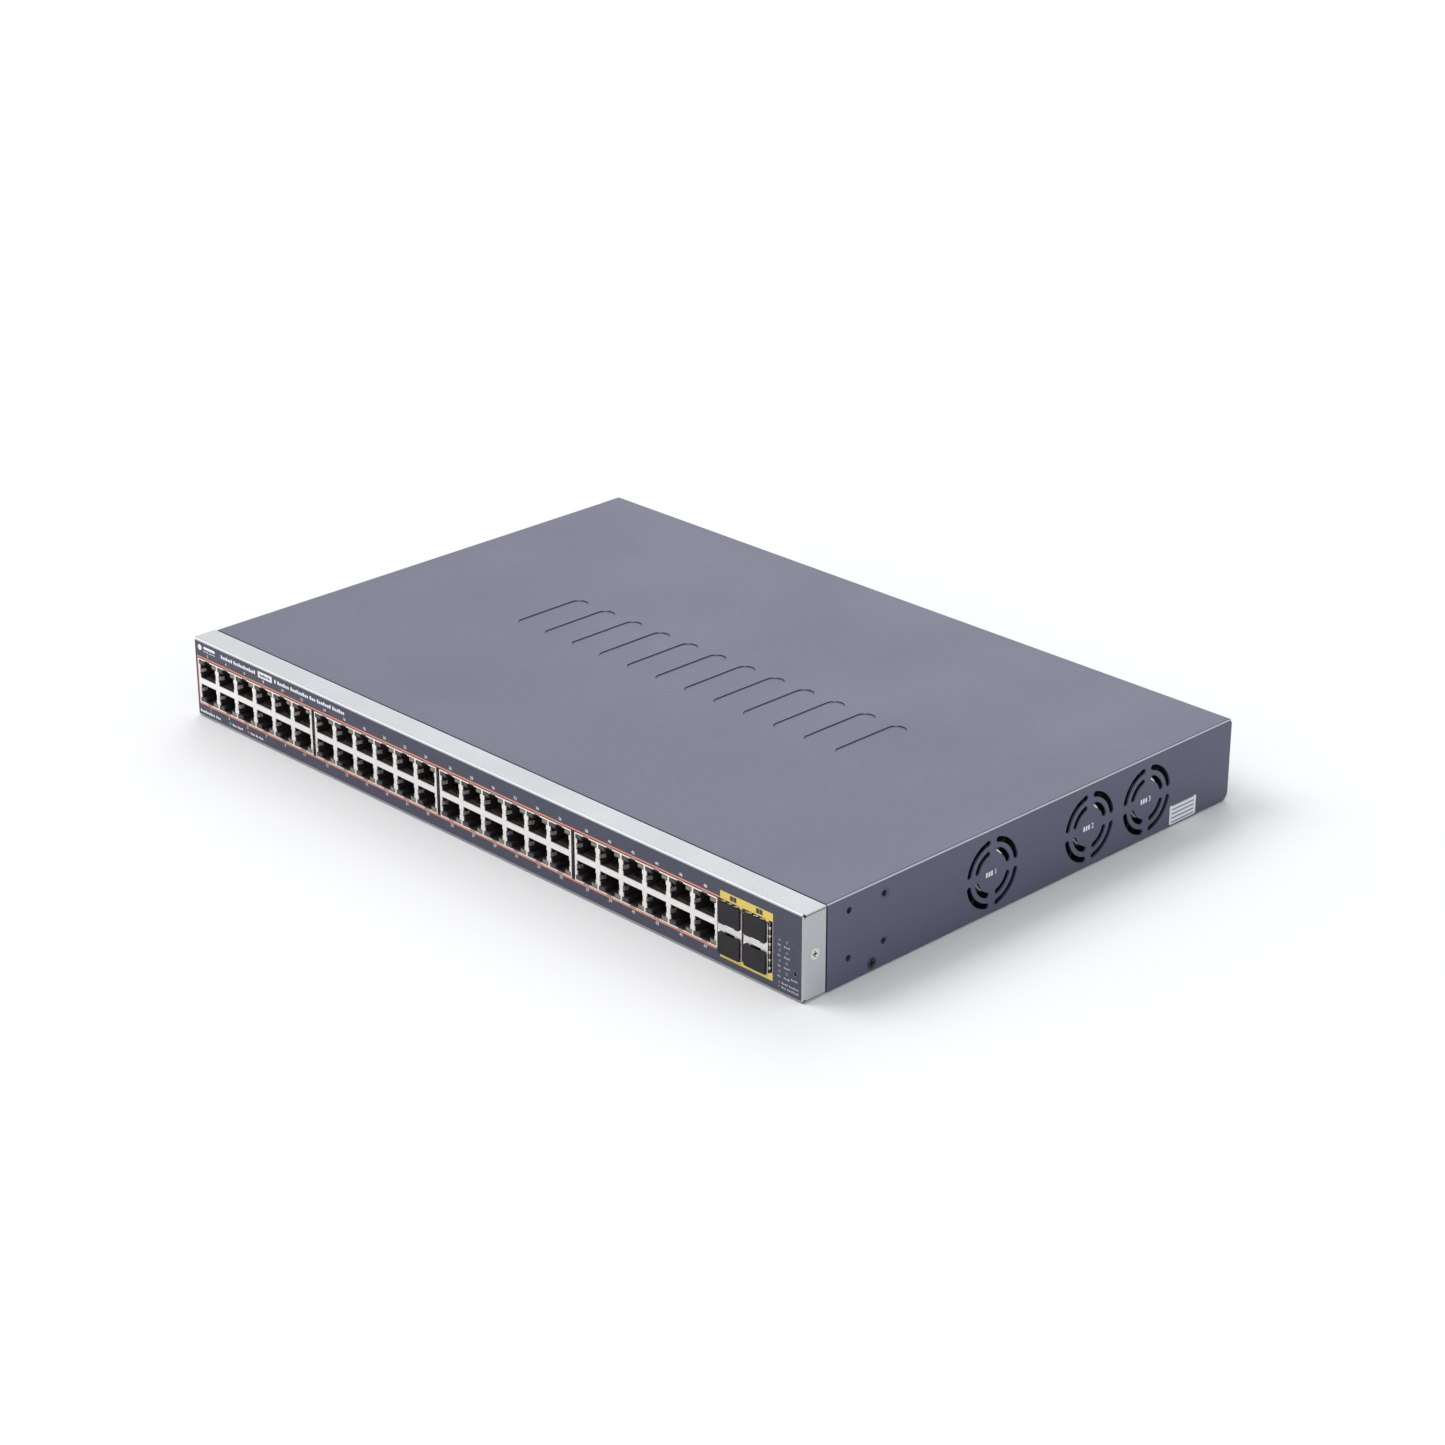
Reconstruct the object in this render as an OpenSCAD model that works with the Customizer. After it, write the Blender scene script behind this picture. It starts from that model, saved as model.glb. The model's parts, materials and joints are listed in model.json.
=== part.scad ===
// Rackmount network switch, one rack unit high: 48 stacked copper ports, 4 fibre bays, 3 side fans.
// Millimetres. +X is the fan side, -Y the port face, +Z up.
// The origin is the middle of the footprint, on the underside.

/* [Chassis] */
// Width of the case over its side walls
case_w = 440; // [438:0.5:443]
// Depth of the case, front film to rear flange
case_d = 300; // [298:0.5:320]
// Height of the case
case_h = 43.6; // [43.4:0.1:44.4]
// Thickness of the tray and cover sheet
sheet = 0.8; // [0.7:0.05:0.9]
// Slip gap between nested sheets
slip = 0.2; // [0.15:0.05:0.3]
// Outer radius of the cover's bends
cover_bend = 1.6; // [1.2:0.1:2]
// Height of the flange that the cover turns down over the rear wall
rear_flange = 11; // [9:0.5:12]

/* [Bezel] */
// How far the bezel's flanges reach back
bezel_d = 14.1; // [12:0.1:15]
// Outer radius of the bezel's bends
bezel_bend = 1.2; // [1.1:0.1:1.5]
// Width of the open seam between bezel and cover
seam = 0.9; // [0.5:0.1:1.2]
// Thickness of the printed front film
film_t = 0.2; // [0.1:0.05:0.3]

/* [Pressed beads in the lid] */
// Number of stiffening beads
bead_n = 12; // [4:1:12]
// Distance between beads
bead_pitch = 20.8; // [16:0.1:21]
// Width of a bead
bead_w = 10.6; // [8:0.1:12]
// Length of a bead
bead_l = 46; // [30:1:60]
// Depth of a bead
bead_depth = 0.5; // [0.3:0.05:0.6]

/* [Copper ports] */
// Number of jack blocks
block_n = 4; // [4:1:4]
// Columns of ports in a block
col_n = 6; // [6:1:6]
// Distance between columns
col_pitch = 15.65; // [15.6:0.01:15.7]
// Distance between blocks
block_pitch = 96.45; // [96.3:0.01:96.5]
// Width of the plug opening
plug_w = 11.9; // [11.8:0.05:12]
// Depth of a port
port_depth = 13.5; // [12.5:0.1:14]

/* [Fibre bays] */
// Distance between bay columns
bay_pitch = 16.25; // [16.2:0.05:16.3]
// Inner width of a bay
bay_w = 14.0; // [13.9:0.05:14]
// Inner height of a bay
bay_h = 8.8; // [8.7:0.05:8.9]
// Depth of the cage
cage_d = 48; // [46:0.5:50]
// Thickness of a dust plug's face
plug_out = 0.65; // [0.5:0.05:1.5]

/* [Fans] */
// Side of a fan's square frame
fan_side = 40; // [40:1:40]
// Thickness of a fan
fan_t = 20; // [15:1:20]
// Number of blades on a rotor
blade_n = 7; // [5:1:9]
// Radius of a rotor's tips
tip_r = 18.2; // [17.5:0.1:18.3]

/* [Side interfaces] */
// Radius of the tapped holes for rack ears
ear_r = 1.25; // [1.2:0.05:1.3]
// Spacing of the ear holes along the case
ear_dy = 23.2; // [23:0.1:23.4]
// Spacing of the ear holes up the case
ear_dz = 23.6; // [23.4:0.1:23.8]

/* [Hidden] */
$fn = 64;
e = 0.01; // overshoot that keeps a cut clean

hw = case_w / 2; // outer face of the side walls
hd = case_d / 2; // front film and rear flange faces
floor_top = sheet;
bezel_t = sheet;
bezel_y = -hd + film_t; // outer face of the bezel's front
bezel_back = -hd + bezel_d;
cover_front = bezel_back + seam;
wall_x = hw - sheet - slip; // outer face of the tray's side walls
rear_y = hd - sheet - slip; // outer face of the tray's rear wall
tray_front = bezel_y + bezel_t + slip;
tray_top = case_h - sheet - slip - 0.2;
cover_foot = 0.6; // lower edge of the cover's side walls
flange_gap = 0.35; // open seam between the bezel's side and upper flanges
relief_r = 0.75; // corner relief where the bezel's three bends meet
lip_drop = 1.4; // how far the lid's front lip steps down to pass under the bezel
lip_d = 10;
row_z = 20.85; // middle of the two rows of copper ports

// Front windows
jack_x0 = -216.4; // left side of the first jack block
block_w = (col_n - 1) * col_pitch + 15.85;
jack_z0 = 8.25;
jack_z1 = 33.45;
sfp_x0 = jack_x0 + (block_n - 1) * block_pitch + block_w;
sfp_x1 = 201;
sfp_z0 = 5.9;
sfp_z1 = 33.7;

// Status lights and reset
led_x = [205.6, 210];
led_z = [11.2, 16.35, 21.5, 26.6];
led_r = 0.85;
reset_x = 214.75;
reset_z = 12.85;
reset_r = 1.15;
button_r = 1.0;
button_travel = 0.5;
button_seat = bezel_y + 6.6; // floor of the bore that the button slides in

// Jack block
jack_y0 = -hd - 0.4; // front of the shield
jack_d = 25.6;
jack_top = jack_z1 - 0.1;
nose_z = jack_z0 + 0.15; // underside of the part that shows in the window
nose_d = film_t + bezel_t + 0.4 + 1.8; // how far back that part runs
insert_w = 15.2;
shield_t = 0.3;
contact_pitch = 1.02;
plug_low = 22.7; // lower edge of an upper port's plug opening
plug_high = 30.0;
latch_high = 32.3;
contact_rise = 2.5;
contact_t = 0.25;
tab_x = 6.85; // root of a shield's spring tab, from the port's middle
tab_z = row_z + 5.4;
tab_l = 3.4;
tab_angle = 16;
lens_x = 5.2; // middle of a port lens, from the port's middle
lens_w = 3.5;
lens_z0 = 30.5;
lens_z1 = 32.2;

// Boards
board_t = 1.6;
board_z = 4.6; // underside of the main board
board_top = board_z + board_t;
board_y0 = -147;
board_y1 = 15;
board_x0 = -216.2;
board_x1 = 216.2;
board_step_y = -50; // the board narrows behind this line, to clear the fans
fan_x0 = wall_x - sheet - fan_t; // inner face of the fans
board_narrow_x = fan_x0 - 2;
screw_r = 1.4;
screw_hole_r = 1.5;
tapped_hole_r = 1.4;
standoff_r = 2.6;
board_holes = concat(
    [for (x = [-205, -110, -14, 82, 150], y = [-118, -55, 8]) [x, y]],
    [[211, -118], [211, -56], [188, 8]]
);

// Chips, by the middles of their packages
asics = [[-62, -32], [40, -32]];
asic_w = 35;
asic_t = 2.4;
phys = [for (i = [0:5]) [-190 + i * 64, -92]];
phy_w = 20;
phy_t = 1.6;
power_chip_x = [for (i = [0:5]) -195 + i * 60];
power_chip_y = -109.5;
fin_base = 2.5;
fin_t = 1.2;
fan_plugs = [[176, -38], [176, -26], [176, -14]];
supply_plug = [112, -17.5]; // first of six supply leads
supply_plug_h = 9;

// Power supply
psu_x0 = -35;
psu_x1 = 188;
psu_y0 = 32;
psu_y1 = 134;
psu_z = 6.8;
psu_top = psu_z + board_t;
psu_holes = [for (x = [psu_x0 + 6, (psu_x0 + psu_x1) / 2, psu_x1 - 6], y = [psu_y0 + 6, psu_y1 - 6]) [x, y]];

// Fans
fan_y = [-25.9, 43.0, 85.5];
fan_z = 20.95;
fan_bore = 18.8;
fan_hole = 16; // screw hole offset from the fan's middle
fan_head_r = 2.5;
fan_head_h = sheet - 0.02;
hub_r = 10.6;
cup_r = 9.4; // inside of the rotor cup
stator_r = 8.4;
shaft_r = 1.0;
blade_r = 14; // camber radius
blade_arc = 66;
bearing_r = 2.15;
tube_in = 2.2;
tube_out = 3.0;

// Side features
ear_y = -109.8; // middle of the ear holes
ear_z = 24.2;
side_screw = [-106.1, 4.2]; // y and z of the cover's side screws
bezel_screw = [-142.6, 22.3]; // y and z of the bezel's side screws
flat_head_r = 2.75;
bezel_head_r = 2.8;
flat_head_h = sheet + slip - 0.02;
dimple_h = 0.55; // depth of the dimple round a rear ear hole
collar_r = 2.1;
collar_d = 1.2; // how far a tapped collar stands in from the tray's wall
vent_w = 3;
vent_h = 24;
vent_pitch = 6.2;
vent_n = 9;
vent_groups = [-26, 35, 96];

// Rear features
inlet = [150, 20]; // x and z of the power inlet's middle
inlet_body = [27.6, 20.2];
inlet_cavity = [24.6, 16.6];
inlet_screw_dx = 20;
pins = [[-7, -2], [7, -2], [0, 2]]; // x and z of the blades, from the inlet's middle
pin = [1, 2]; // half of a blade's section
pin_slip = 0.05;
pin_back = rear_y - 29;
ground_x = 108;
ground_z = 16;
rear_screw_x = [-180, 0, 180];
rear_screw_z = case_h - 6;

function block_x(b) = jack_x0 + b * block_pitch;
function port_x(b, c) = block_x(b) + block_w / 2 + (c - (col_n - 1) / 2) * col_pitch;
cage_x0 = sfp_x0 + 0.15;
cage_wall = 0.4;
fold_wall = 0.65; // right wall of each cage, folded double
function bay_x(c) = cage_x0 + cage_wall + bay_w / 2 + c * bay_pitch;
bay_rows = [11.9, 27.1];
cage_low = bay_rows[0] - bay_h / 2 - cage_wall;
cage_high = bay_rows[1] + bay_h / 2 + cage_wall;
cage_y0 = -hd - 0.2;
function cage_right(c) = bay_x(c) + bay_w / 2 + fold_wall;
groove_z = [18.4, 19.5, 20.6]; // grooves between a cage's folded lips
plug_face = [13.3, 10.9];
plug_body = [12.4, 7.8];
plug_back = cage_y0 - 0.15; // back of a dust plug's face
strip_t = 0.15;
finger_w = 1.6;
finger_pitch = 3.95;

// ---------- shared shapes ----------

// A box from its lowest to its highest corner
module box(low, high) {
    translate(low) cube(high - low);
}

// Extrudes an outline drawn in x and z along y
module along_y(y0, y1) {
    translate([0, y1, 0]) rotate([90, 0, 0]) linear_extrude(y1 - y0) children();
}

// Extrudes an outline drawn in y and z along x
module along_x(x0, x1) {
    translate([x0, 0, 0]) rotate([90, 0, 90]) linear_extrude(x1 - x0) children();
}

// A rod along x
module rod_x(x0, x1, r, y, z) {
    translate([x0, y, z]) rotate([0, 90, 0]) cylinder(h = x1 - x0, r = r);
}

// A rod along y
module rod_y(y0, y1, r, x, z) {
    translate([x, y0, z]) rotate([-90, 0, 0]) cylinder(h = y1 - y0, r = r);
}

// A rod through one side wall, x0 and x1 from the middle of the case
module side_rod(side, x0, x1, r, y, z) {
    mirror([side > 0 ? 0 : 1, 0, 0]) rod_x(x0, x1, r, y, z);
}

// A rectangle with round corners, centred
module round_rect(w, h, r) {
    square([w - 2 * r, h], center = true);
    square([w, h - 2 * r], center = true);
    for (x = [-1, 1], y = [-1, 1]) translate([x * (w / 2 - r), y * (h / 2 - r)]) circle(r);
}

// A straight slot with round ends, upright in z, cut through an x wall
module slot_x(x0, x1, w, h, y, z) {
    box([x0, y - w / 2, z - h / 2 + w / 2], [x1, y + w / 2, z + h / 2 - w / 2]);
    for (s = [-1, 1]) rod_x(x0, x1, w / 2, y, z + s * (h / 2 - w / 2));
}

// Cross recess, cut downwards from z = 0
module cross_recess(size, depth) {
    for (a = [0, 90]) rotate(a) translate([-size / 2, -size / 10, -depth]) cube([size, size / 5, depth + e]);
}

// Countersunk screw, head up, its flat face at z = 0
module flat_screw(length, head_r = flat_head_r, head_h = flat_head_h) {
    difference() {
        union() {
            translate([0, 0, -head_h]) cylinder(h = head_h, r1 = screw_r, r2 = head_r);
            translate([0, 0, -length]) cylinder(h = length - head_h / 2, r = screw_r - 0.2);
        }
        cross_recess(head_r * 1.1, head_h * 0.7);
    }
}

// The countersunk hole that such a screw sits in, through one sheet
module flat_seat(head_r = flat_head_r, head_h = flat_head_h) {
    translate([0, 0, -head_h]) cylinder(h = head_h + 0.05, r1 = screw_r + 0.1, r2 = head_r + 0.15);
    translate([0, 0, -3]) cylinder(h = 3, r = screw_hole_r);
}

// Pan head screw, its bearing face at z = 0
module pan_screw(length, head_r = 2.7, head_h = 1.7) {
    difference() {
        union() {
            cylinder(h = head_h, r = head_r);
            translate([0, 0, -length]) cylinder(h = length + e, r = screw_r - 0.05);
        }
        translate([0, 0, head_h]) cross_recess(head_r * 1.1, 0.9);
    }
}

// Turns a part that points up so that it points along +x or -x
module face_x(side, y, z, x = hw) {
    translate([side * x, y, z]) rotate([0, side * 90, 0]) children();
}

// Turns a part that points up so that it points along +y
module face_rear(x, y, z) {
    translate([x, y, z]) rotate([-90, 0, 0]) children();
}

// ---------- case ----------

// Cross-section of the cover: a U with round bends, offset inwards by inset
module cover_outline(inset, low) {
    r = cover_bend - inset;
    x = hw - cover_bend;
    z = case_h - cover_bend;
    translate([-hw + inset, low]) square([case_w - 2 * inset, z - low]);
    translate([-x, low]) square([2 * x, case_h - inset - low]);
    for (s = [-1, 1]) translate([s * x, z]) circle(r);
}

// Side view of the lid's rear edge: it bends down into the rear flange
module rear_bend_outline(inset, low) {
    r = cover_bend - inset;
    y = hd - cover_bend;
    z = case_h - cover_bend;
    translate([y - 12, low]) square([12 + cover_bend - inset, z - low]);
    translate([y - 12, low]) square([12, case_h - inset - low]);
    translate([y, z]) circle(r);
}

// One arc-shaped slot of a fan grille, drawn round the fan's middle
module grille_arc(r, w, end_angle) {
    rotate(end_angle) rotate_extrude(angle = 90 - 2 * end_angle) translate([r - w / 2, 0]) square([w, 6]);
    for (a = [end_angle, 90 - end_angle]) rotate(a) translate([r, 0, 0]) cylinder(h = 6, r = w / 2);
}

// The two rings of slots in front of one fan
module grille(y, z) {
    translate([hw - 3, y, z]) rotate([0, 90, 0])
        for (q = [0:3]) rotate(q * 90) {
            grille_arc(16.35, 2.9, 12.2);
            grille_arc(11.05, 2.9, 18.7);
        }
}

// Holes for rack ears through one side wall
module ear_holes(side, x0, x1, r) {
    for (sy = [-0.5, 0.5], sz = [-0.5, 0.5])
        side_rod(side, x0, x1, r, ear_y + sy * ear_dy, ear_z + sz * ear_dz);
}

// Vent slots through the -x wall
module side_vents(x0, x1) {
    for (g = vent_groups, i = [0:vent_n - 1])
        slot_x(x0, x1, vent_w, vent_h, g + (i - (vent_n - 1) / 2) * vent_pitch, case_h / 2 - 0.6);
}

// A bead's outline as a solid of any depth
module bead_shape(w, l, z0, z1) {
    box([-w / 2, -(l - w) / 2, z0], [w / 2, (l - w) / 2, z1]);
    for (s = [-1, 1]) translate([0, s * (l - w) / 2, z0]) cylinder(h = z1 - z0, r = w / 2);
}

module beads(grow, z0, z1) {
    for (i = [0:bead_n - 1]) translate([(i - (bead_n - 1) / 2) * bead_pitch, 5, 0])
        bead_shape(bead_w + 2 * grow, bead_l + 2 * grow, z0, z1);
}

module top_cover() {
    color([0.28, 0.29, 0.36]) difference() {
        union() {
            difference() {
                along_y(cover_front, hd - cover_bend) cover_outline(0, cover_foot);
                along_y(cover_front - e, hd - cover_bend + e) cover_outline(sheet, -e);
            }
            difference() {
                along_x(-wall_x, wall_x) rear_bend_outline(0, case_h - rear_flange);
                along_x(-wall_x - e, wall_x + e) rear_bend_outline(sheet, -e);
            }
            // the side walls run on past the lid's bend
            for (s = [0, 1]) mirror([s, 0, 0])
                box([hw - sheet, hd - cover_bend - 1, cover_foot], [hw, hd - 0.4, case_h - cover_bend]);
            // joggled lip that slides under the bezel
            lip_z = case_h - bezel_t - lip_drop;
            lip_y = cover_front + sheet;
            box([-wall_x + 1, cover_front - lip_d, lip_z], [wall_x - 1, lip_y, lip_z + sheet]);
            box([-wall_x + 1, cover_front, lip_z], [wall_x - 1, lip_y, case_h - sheet / 2]);
            beads(0.5, case_h - sheet - bead_depth, case_h - sheet / 2);
        }
        beads(0, case_h - bead_depth, case_h + 1);
        for (y = fan_y) grille(y, fan_z);
        side_vents(-hw - 1, -hw + sheet + 1);
        for (side = [-1, 1]) {
            ear_holes(side, hw - sheet - 1, hw + 1, 1.6);
            face_x(side, side_screw[0], side_screw[1]) flat_seat();
        }
        // the rear pair of ear holes is dimpled
        for (side = [-1, 1], sz = [-0.5, 0.5])
            face_x(side, ear_y + ear_dy / 2, ear_z + sz * ear_dz)
                translate([0, 0, -dimple_h]) cylinder(h = dimple_h + e, r1 = 2.0, r2 = 2.9);
        for (x = rear_screw_x) rod_y(hd - 2, hd + 1, screw_hole_r, x, rear_screw_z);
        // rounded lower rear corner of each side wall
        for (s = [0, 1]) mirror([s, 0, 0]) difference() {
            box([hw - sheet - 1, hd - 4.4, cover_foot - 1], [hw + 1, hd + 1, cover_foot + 4]);
            rod_x(hw - sheet - 2, hw + 2, 4, hd - 4.4, cover_foot + 4);
        }
    }
}

// Wall of the tray on one side, without its holes
module tray_wall(side) {
    x0 = side > 0 ? wall_x - sheet : -wall_x;
    box([x0, tray_front, bezel_t + slip / 2], [x0 + sheet, rear_y, tray_top]);
    box([x0, cover_front, 0], [x0 + sheet, rear_y, bezel_t + 1]);
}

// Tapped collar pressed inwards from a side wall
module collar(side, y, z) {
    side_rod(side, wall_x - sheet - collar_d, wall_x - e, collar_r, y, z);
}

// Tapped hole through the tray's rear wall
module rear_tapped_hole(x, z) {
    rod_y(rear_y - 3, rear_y + 1, tapped_hole_r, x, z);
}

module base_tray() {
    color([0.28, 0.29, 0.36]) difference() {
        union() {
            box([-wall_x, cover_front, 0], [wall_x, rear_y, sheet]);
            // joggle over the bezel's lower flange
            step_z = bezel_t + slip / 2;
            box([-wall_x, tray_front, step_z], [wall_x, cover_front + sheet, step_z + sheet]);
            box([-wall_x, cover_front, 0], [wall_x, cover_front + sheet, step_z + sheet]);
            for (side = [-1, 1]) tray_wall(side);
            box([-wall_x, rear_y - sheet, 0], [wall_x, rear_y, tray_top]);
            // flange along the top of the rear wall
            box([-wall_x + 3, rear_y - 8, tray_top - sheet], [wall_x - 3, rear_y, tray_top]);
            for (side = [-1, 1]) {
                for (sy = [-0.5, 0.5], sz = [-0.5, 0.5])
                    collar(side, ear_y + sy * ear_dy, ear_z + sz * ear_dz);
                collar(side, side_screw[0], side_screw[1]);
                collar(side, bezel_screw[0], bezel_screw[1]);
            }
        }
        for (side = [-1, 1]) {
            ear_holes(side, wall_x - sheet - 3, wall_x + 1, ear_r);
            for (p = [side_screw, bezel_screw]) side_rod(side, wall_x - 4, wall_x + 1, ear_r, p[0], p[1]);
        }
        side_vents(-wall_x - 1, -wall_x + sheet + 1);
        for (y = fan_y) {
            rod_x(wall_x - sheet - 1, wall_x + 1, fan_bore - 0.2, y, fan_z);
            for (sy = [-1, 1], sz = [-1, 1])
                face_x(1, y + sy * fan_hole, fan_z + sz * fan_hole, wall_x) flat_seat(fan_head_r, fan_head_h);
        }
        box([inlet[0] - inlet_body[0] / 2 - 0.2, rear_y - 3, inlet[1] - inlet_body[1] / 2 - 0.2],
            [inlet[0] + inlet_body[0] / 2 + 0.2, rear_y + 1, inlet[1] + inlet_body[1] / 2 + 0.2]);
        for (x = [inlet[0] - inlet_screw_dx, inlet[0] + inlet_screw_dx]) rear_tapped_hole(x, inlet[1]);
        rear_tapped_hole(ground_x, ground_z);
        for (x = rear_screw_x) rear_tapped_hole(x, rear_screw_z);
        // shallow rings that locate stick-on feet
        for (x = [-1, 1], y = [-1, 1]) translate([x * (hw - 30), y * (hd - 36), -1]) cylinder(h = 1.3, r = 9);
    }
}

// Side view of the bezel: front face with an upper and a lower flange
module bezel_side_outline(inset, back) {
    r = bezel_bend - inset;
    y = bezel_y + bezel_bend;
    translate([bezel_y + inset, bezel_bend]) square([back - bezel_y - inset, case_h - 2 * bezel_bend]);
    translate([y, inset]) square([back - y, case_h - 2 * inset]);
    for (z = [bezel_bend, case_h - bezel_bend]) translate([y, z]) circle(r);
}

// Plan of the bezel: front face with its two side flanges
module bezel_plan_outline(inset, back) {
    r = bezel_bend - inset;
    y = bezel_y + bezel_bend;
    x = hw - bezel_bend;
    translate([-x, bezel_y + inset]) square([2 * x, back - bezel_y - inset]);
    translate([-hw + inset, y]) square([case_w - 2 * inset, back - y]);
    for (s = [-1, 1]) translate([s * x, y]) circle(r);
}

// Small points that close the fibre window round the cages' corners
module window_points(y0, y1) {
    along_y(y0, y1) {
        for (c = [0, 1]) translate([cage_right(c) - 0.8, sfp_z1])
            polygon([[-1.5, 1], [1.5, 1], [1.5, 0], [0, -1.45], [-1.5, 0]]);
        translate([cage_right(0) + 0.5, sfp_z0])
            polygon([[-2.6, -1], [0.8, -1], [0.8, 0], [0.3, 1.1], [0, 1.7], [-0.3, 1.1], [-2.6, 0]]);
        translate([sfp_x1, sfp_z0])
            polygon([[-4.4, -1], [1, -1], [1, 2.6], [0, 2.6], [-2.4, 1.5], [-2.5, 1.1], [-4.4, 0]]);
    }
}

// Openings through the front face, grown by a margin
module front_windows(y0, y1, grow) {
    box([jack_x0 - 0.3 - grow, y0, jack_z0 - grow], [sfp_x0 + 1, y1, jack_z1 + grow]);
    difference() {
        box([sfp_x0 - grow, y0, sfp_z0 - grow], [sfp_x1 + grow, y1, sfp_z1 + grow]);
        window_points(y0 - 1, y1 + 1);
    }
    for (x = led_x, z = led_z) rod_y(y0, y1, led_r + 0.08 + grow, x, z);
    rod_y(y0, y1, reset_r, reset_x, reset_z);
}

module front_bezel() {
    color([0.80, 0.81, 0.83]) difference() {
        union() {
            difference() {
                along_x(-hw + bezel_bend, hw - bezel_bend) bezel_side_outline(0, bezel_back);
                along_x(-hw, hw) bezel_side_outline(bezel_t, bezel_back + 1);
            }
            // upper and lower flanges reach out over the side flanges
            for (z = [0, case_h - bezel_t])
                box([-hw, bezel_y + bezel_bend, z], [hw, bezel_back, z + bezel_t]);
            difference() {
                side_low = bezel_t + flange_gap;
                translate([0, 0, side_low])
                    linear_extrude(case_h - 2 * side_low) bezel_plan_outline(0, bezel_back);
                linear_extrude(case_h + 1) bezel_plan_outline(bezel_t, bezel_back + 1);
            }
        }
        front_windows(bezel_y - 1, bezel_y + bezel_t + 1, 0);
        for (side = [-1, 1]) {
            face_x(side, bezel_screw[0], bezel_screw[1]) flat_seat(bezel_head_r);
            for (z = [bezel_t + flange_gap, case_h - bezel_t - flange_gap])
                side_rod(side, hw - bezel_bend, hw + 1, relief_r, bezel_y + bezel_bend, z);
        }
    }
}

module front_film() {
    color([0.22, 0.23, 0.29]) difference() {
        along_y(-hd, bezel_y) translate([0, case_h / 2])
            square([case_w - 2 * bezel_bend, case_h - 2 * bezel_bend - 0.1], center = true);
        front_windows(-hd - 1, bezel_y + 1, 0.08);
        // the film stops short of the fibre window's right edge
        box([sfp_x1 - 1, -hd - 1, sfp_z0 + 2.7], [sfp_x1 + 0.5, bezel_y + 1, sfp_z1]);
    }
}

module side_label() {
    color([0.85, 0.87, 0.9]) along_x(hw, hw + 0.1) translate([114.1, 6.2]) round_rect(20.2, 10.2, 1);
}

module cover_side_screws() {
    color([0.12, 0.12, 0.13]) for (side = [-1, 1]) face_x(side, side_screw[0], side_screw[1]) flat_screw(3.4);
}

module bezel_screws() {
    color([0.85, 0.85, 0.86]) for (side = [-1, 1])
        face_x(side, bezel_screw[0], bezel_screw[1]) flat_screw(3.4, bezel_head_r);
}

// Cover, inlet and earth screws on the rear wall
module rear_screws() {
    color([0.16, 0.16, 0.17]) {
        for (x = rear_screw_x) face_rear(x, hd, rear_screw_z) pan_screw(5, 2.7, 1.4);
        for (x = [inlet[0] - inlet_screw_dx, inlet[0] + inlet_screw_dx])
            face_rear(x, rear_y + 2, inlet[1]) pan_screw(6, 2.7, 1.4);
        face_rear(ground_x, rear_y, ground_z) pan_screw(6, 3.2, 1.8);
    }
}

// ---------- copper ports ----------

// Repeats a shape drawn for an upper port at both rows; the lower row is its mirror image
module both_rows() {
    children();
    translate([0, 0, 2 * row_z]) mirror([0, 0, 1]) children();
}

// Window in the shield's face for one upper port
module shield_window(x, y0, y1) {
    box([x - 6.3, y0, row_z + 1.6], [x + 6.3, y1, lens_z0 - 0.1]);
    box([x - 7.3, y0, lens_z0 - 0.3], [x + 7.3, y1, latch_high + 0.3]);
    box([x - 1.9, y0, lens_z0], [x + 1.9, y1, jack_z1]);
    // gaps above and below the spring tabs
    box([x - tab_x + 0.05, y0, tab_z - 1.5], [x + tab_x - 0.05, y1, tab_z + 1.5]);
}

// Spring tab beside a port, bent inwards from the shield's face
module shield_tab(x, side) {
    translate([x + side * tab_x, jack_y0 + 0.05, tab_z]) rotate([0, 0, side * tab_angle])
        translate([side > 0 ? -0.2 : 0, 0, -1]) cube([0.2, tab_l, 2]);
}

// A jack block's envelope, drawn in by inset: a body on the board and a nose through the window
module block_envelope(b, inset, low) {
    x0 = block_x(b) + inset;
    x1 = block_x(b) + block_w - inset;
    box([x0, jack_y0 + inset, nose_z + inset], [x1, jack_y0 + jack_d - inset, jack_top - inset]);
    box([x0, jack_y0 + nose_d, low], [x1, jack_y0 + jack_d - inset, jack_top - inset]);
}

module jack_shield(b) {
    color([0.86, 0.85, 0.83]) union() {
        difference() {
            block_envelope(b, 0, board_top);
            block_envelope(b, shield_t, board_top - 1);
            for (c = [0:col_n - 1])
                both_rows() shield_window(port_x(b, c), jack_y0 - 1, jack_y0 + shield_t + e);
        }
        for (c = [0:col_n - 1], side = [-1, 1]) both_rows() shield_tab(port_x(b, c), side);
    }
}

// A lens of an upper port with its middle at x, grown by a margin
module lens_box(x, y0, y1, grow) {
    w = lens_w / 2 + grow;
    box([x - w, y0, lens_z0 - grow], [x + w, y1, lens_z1 + grow]);
}

// Hollow of one upper port: the plug opening, the latch channel and two lens pockets
module port_hollow(x) {
    y = jack_y0 + shield_t;
    box([x - plug_w / 2, y - 1, plug_low], [x + plug_w / 2, y + port_depth, plug_high]);
    box([x - 3.1, y - 1, plug_high - 1], [x + 3.1, y + port_depth, latch_high]);
    // room for the shield's spring tabs
    for (s = [-1, 1]) translate([x + s * 6.2, 0, tab_z]) box([-0.8, y - 1, -1.5], [0.8, y + 3.6, 1.5]);
    for (s = [-1, 1]) lens_box(x + s * lens_x, y - 1, y + 9, 0.05);
}

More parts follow.
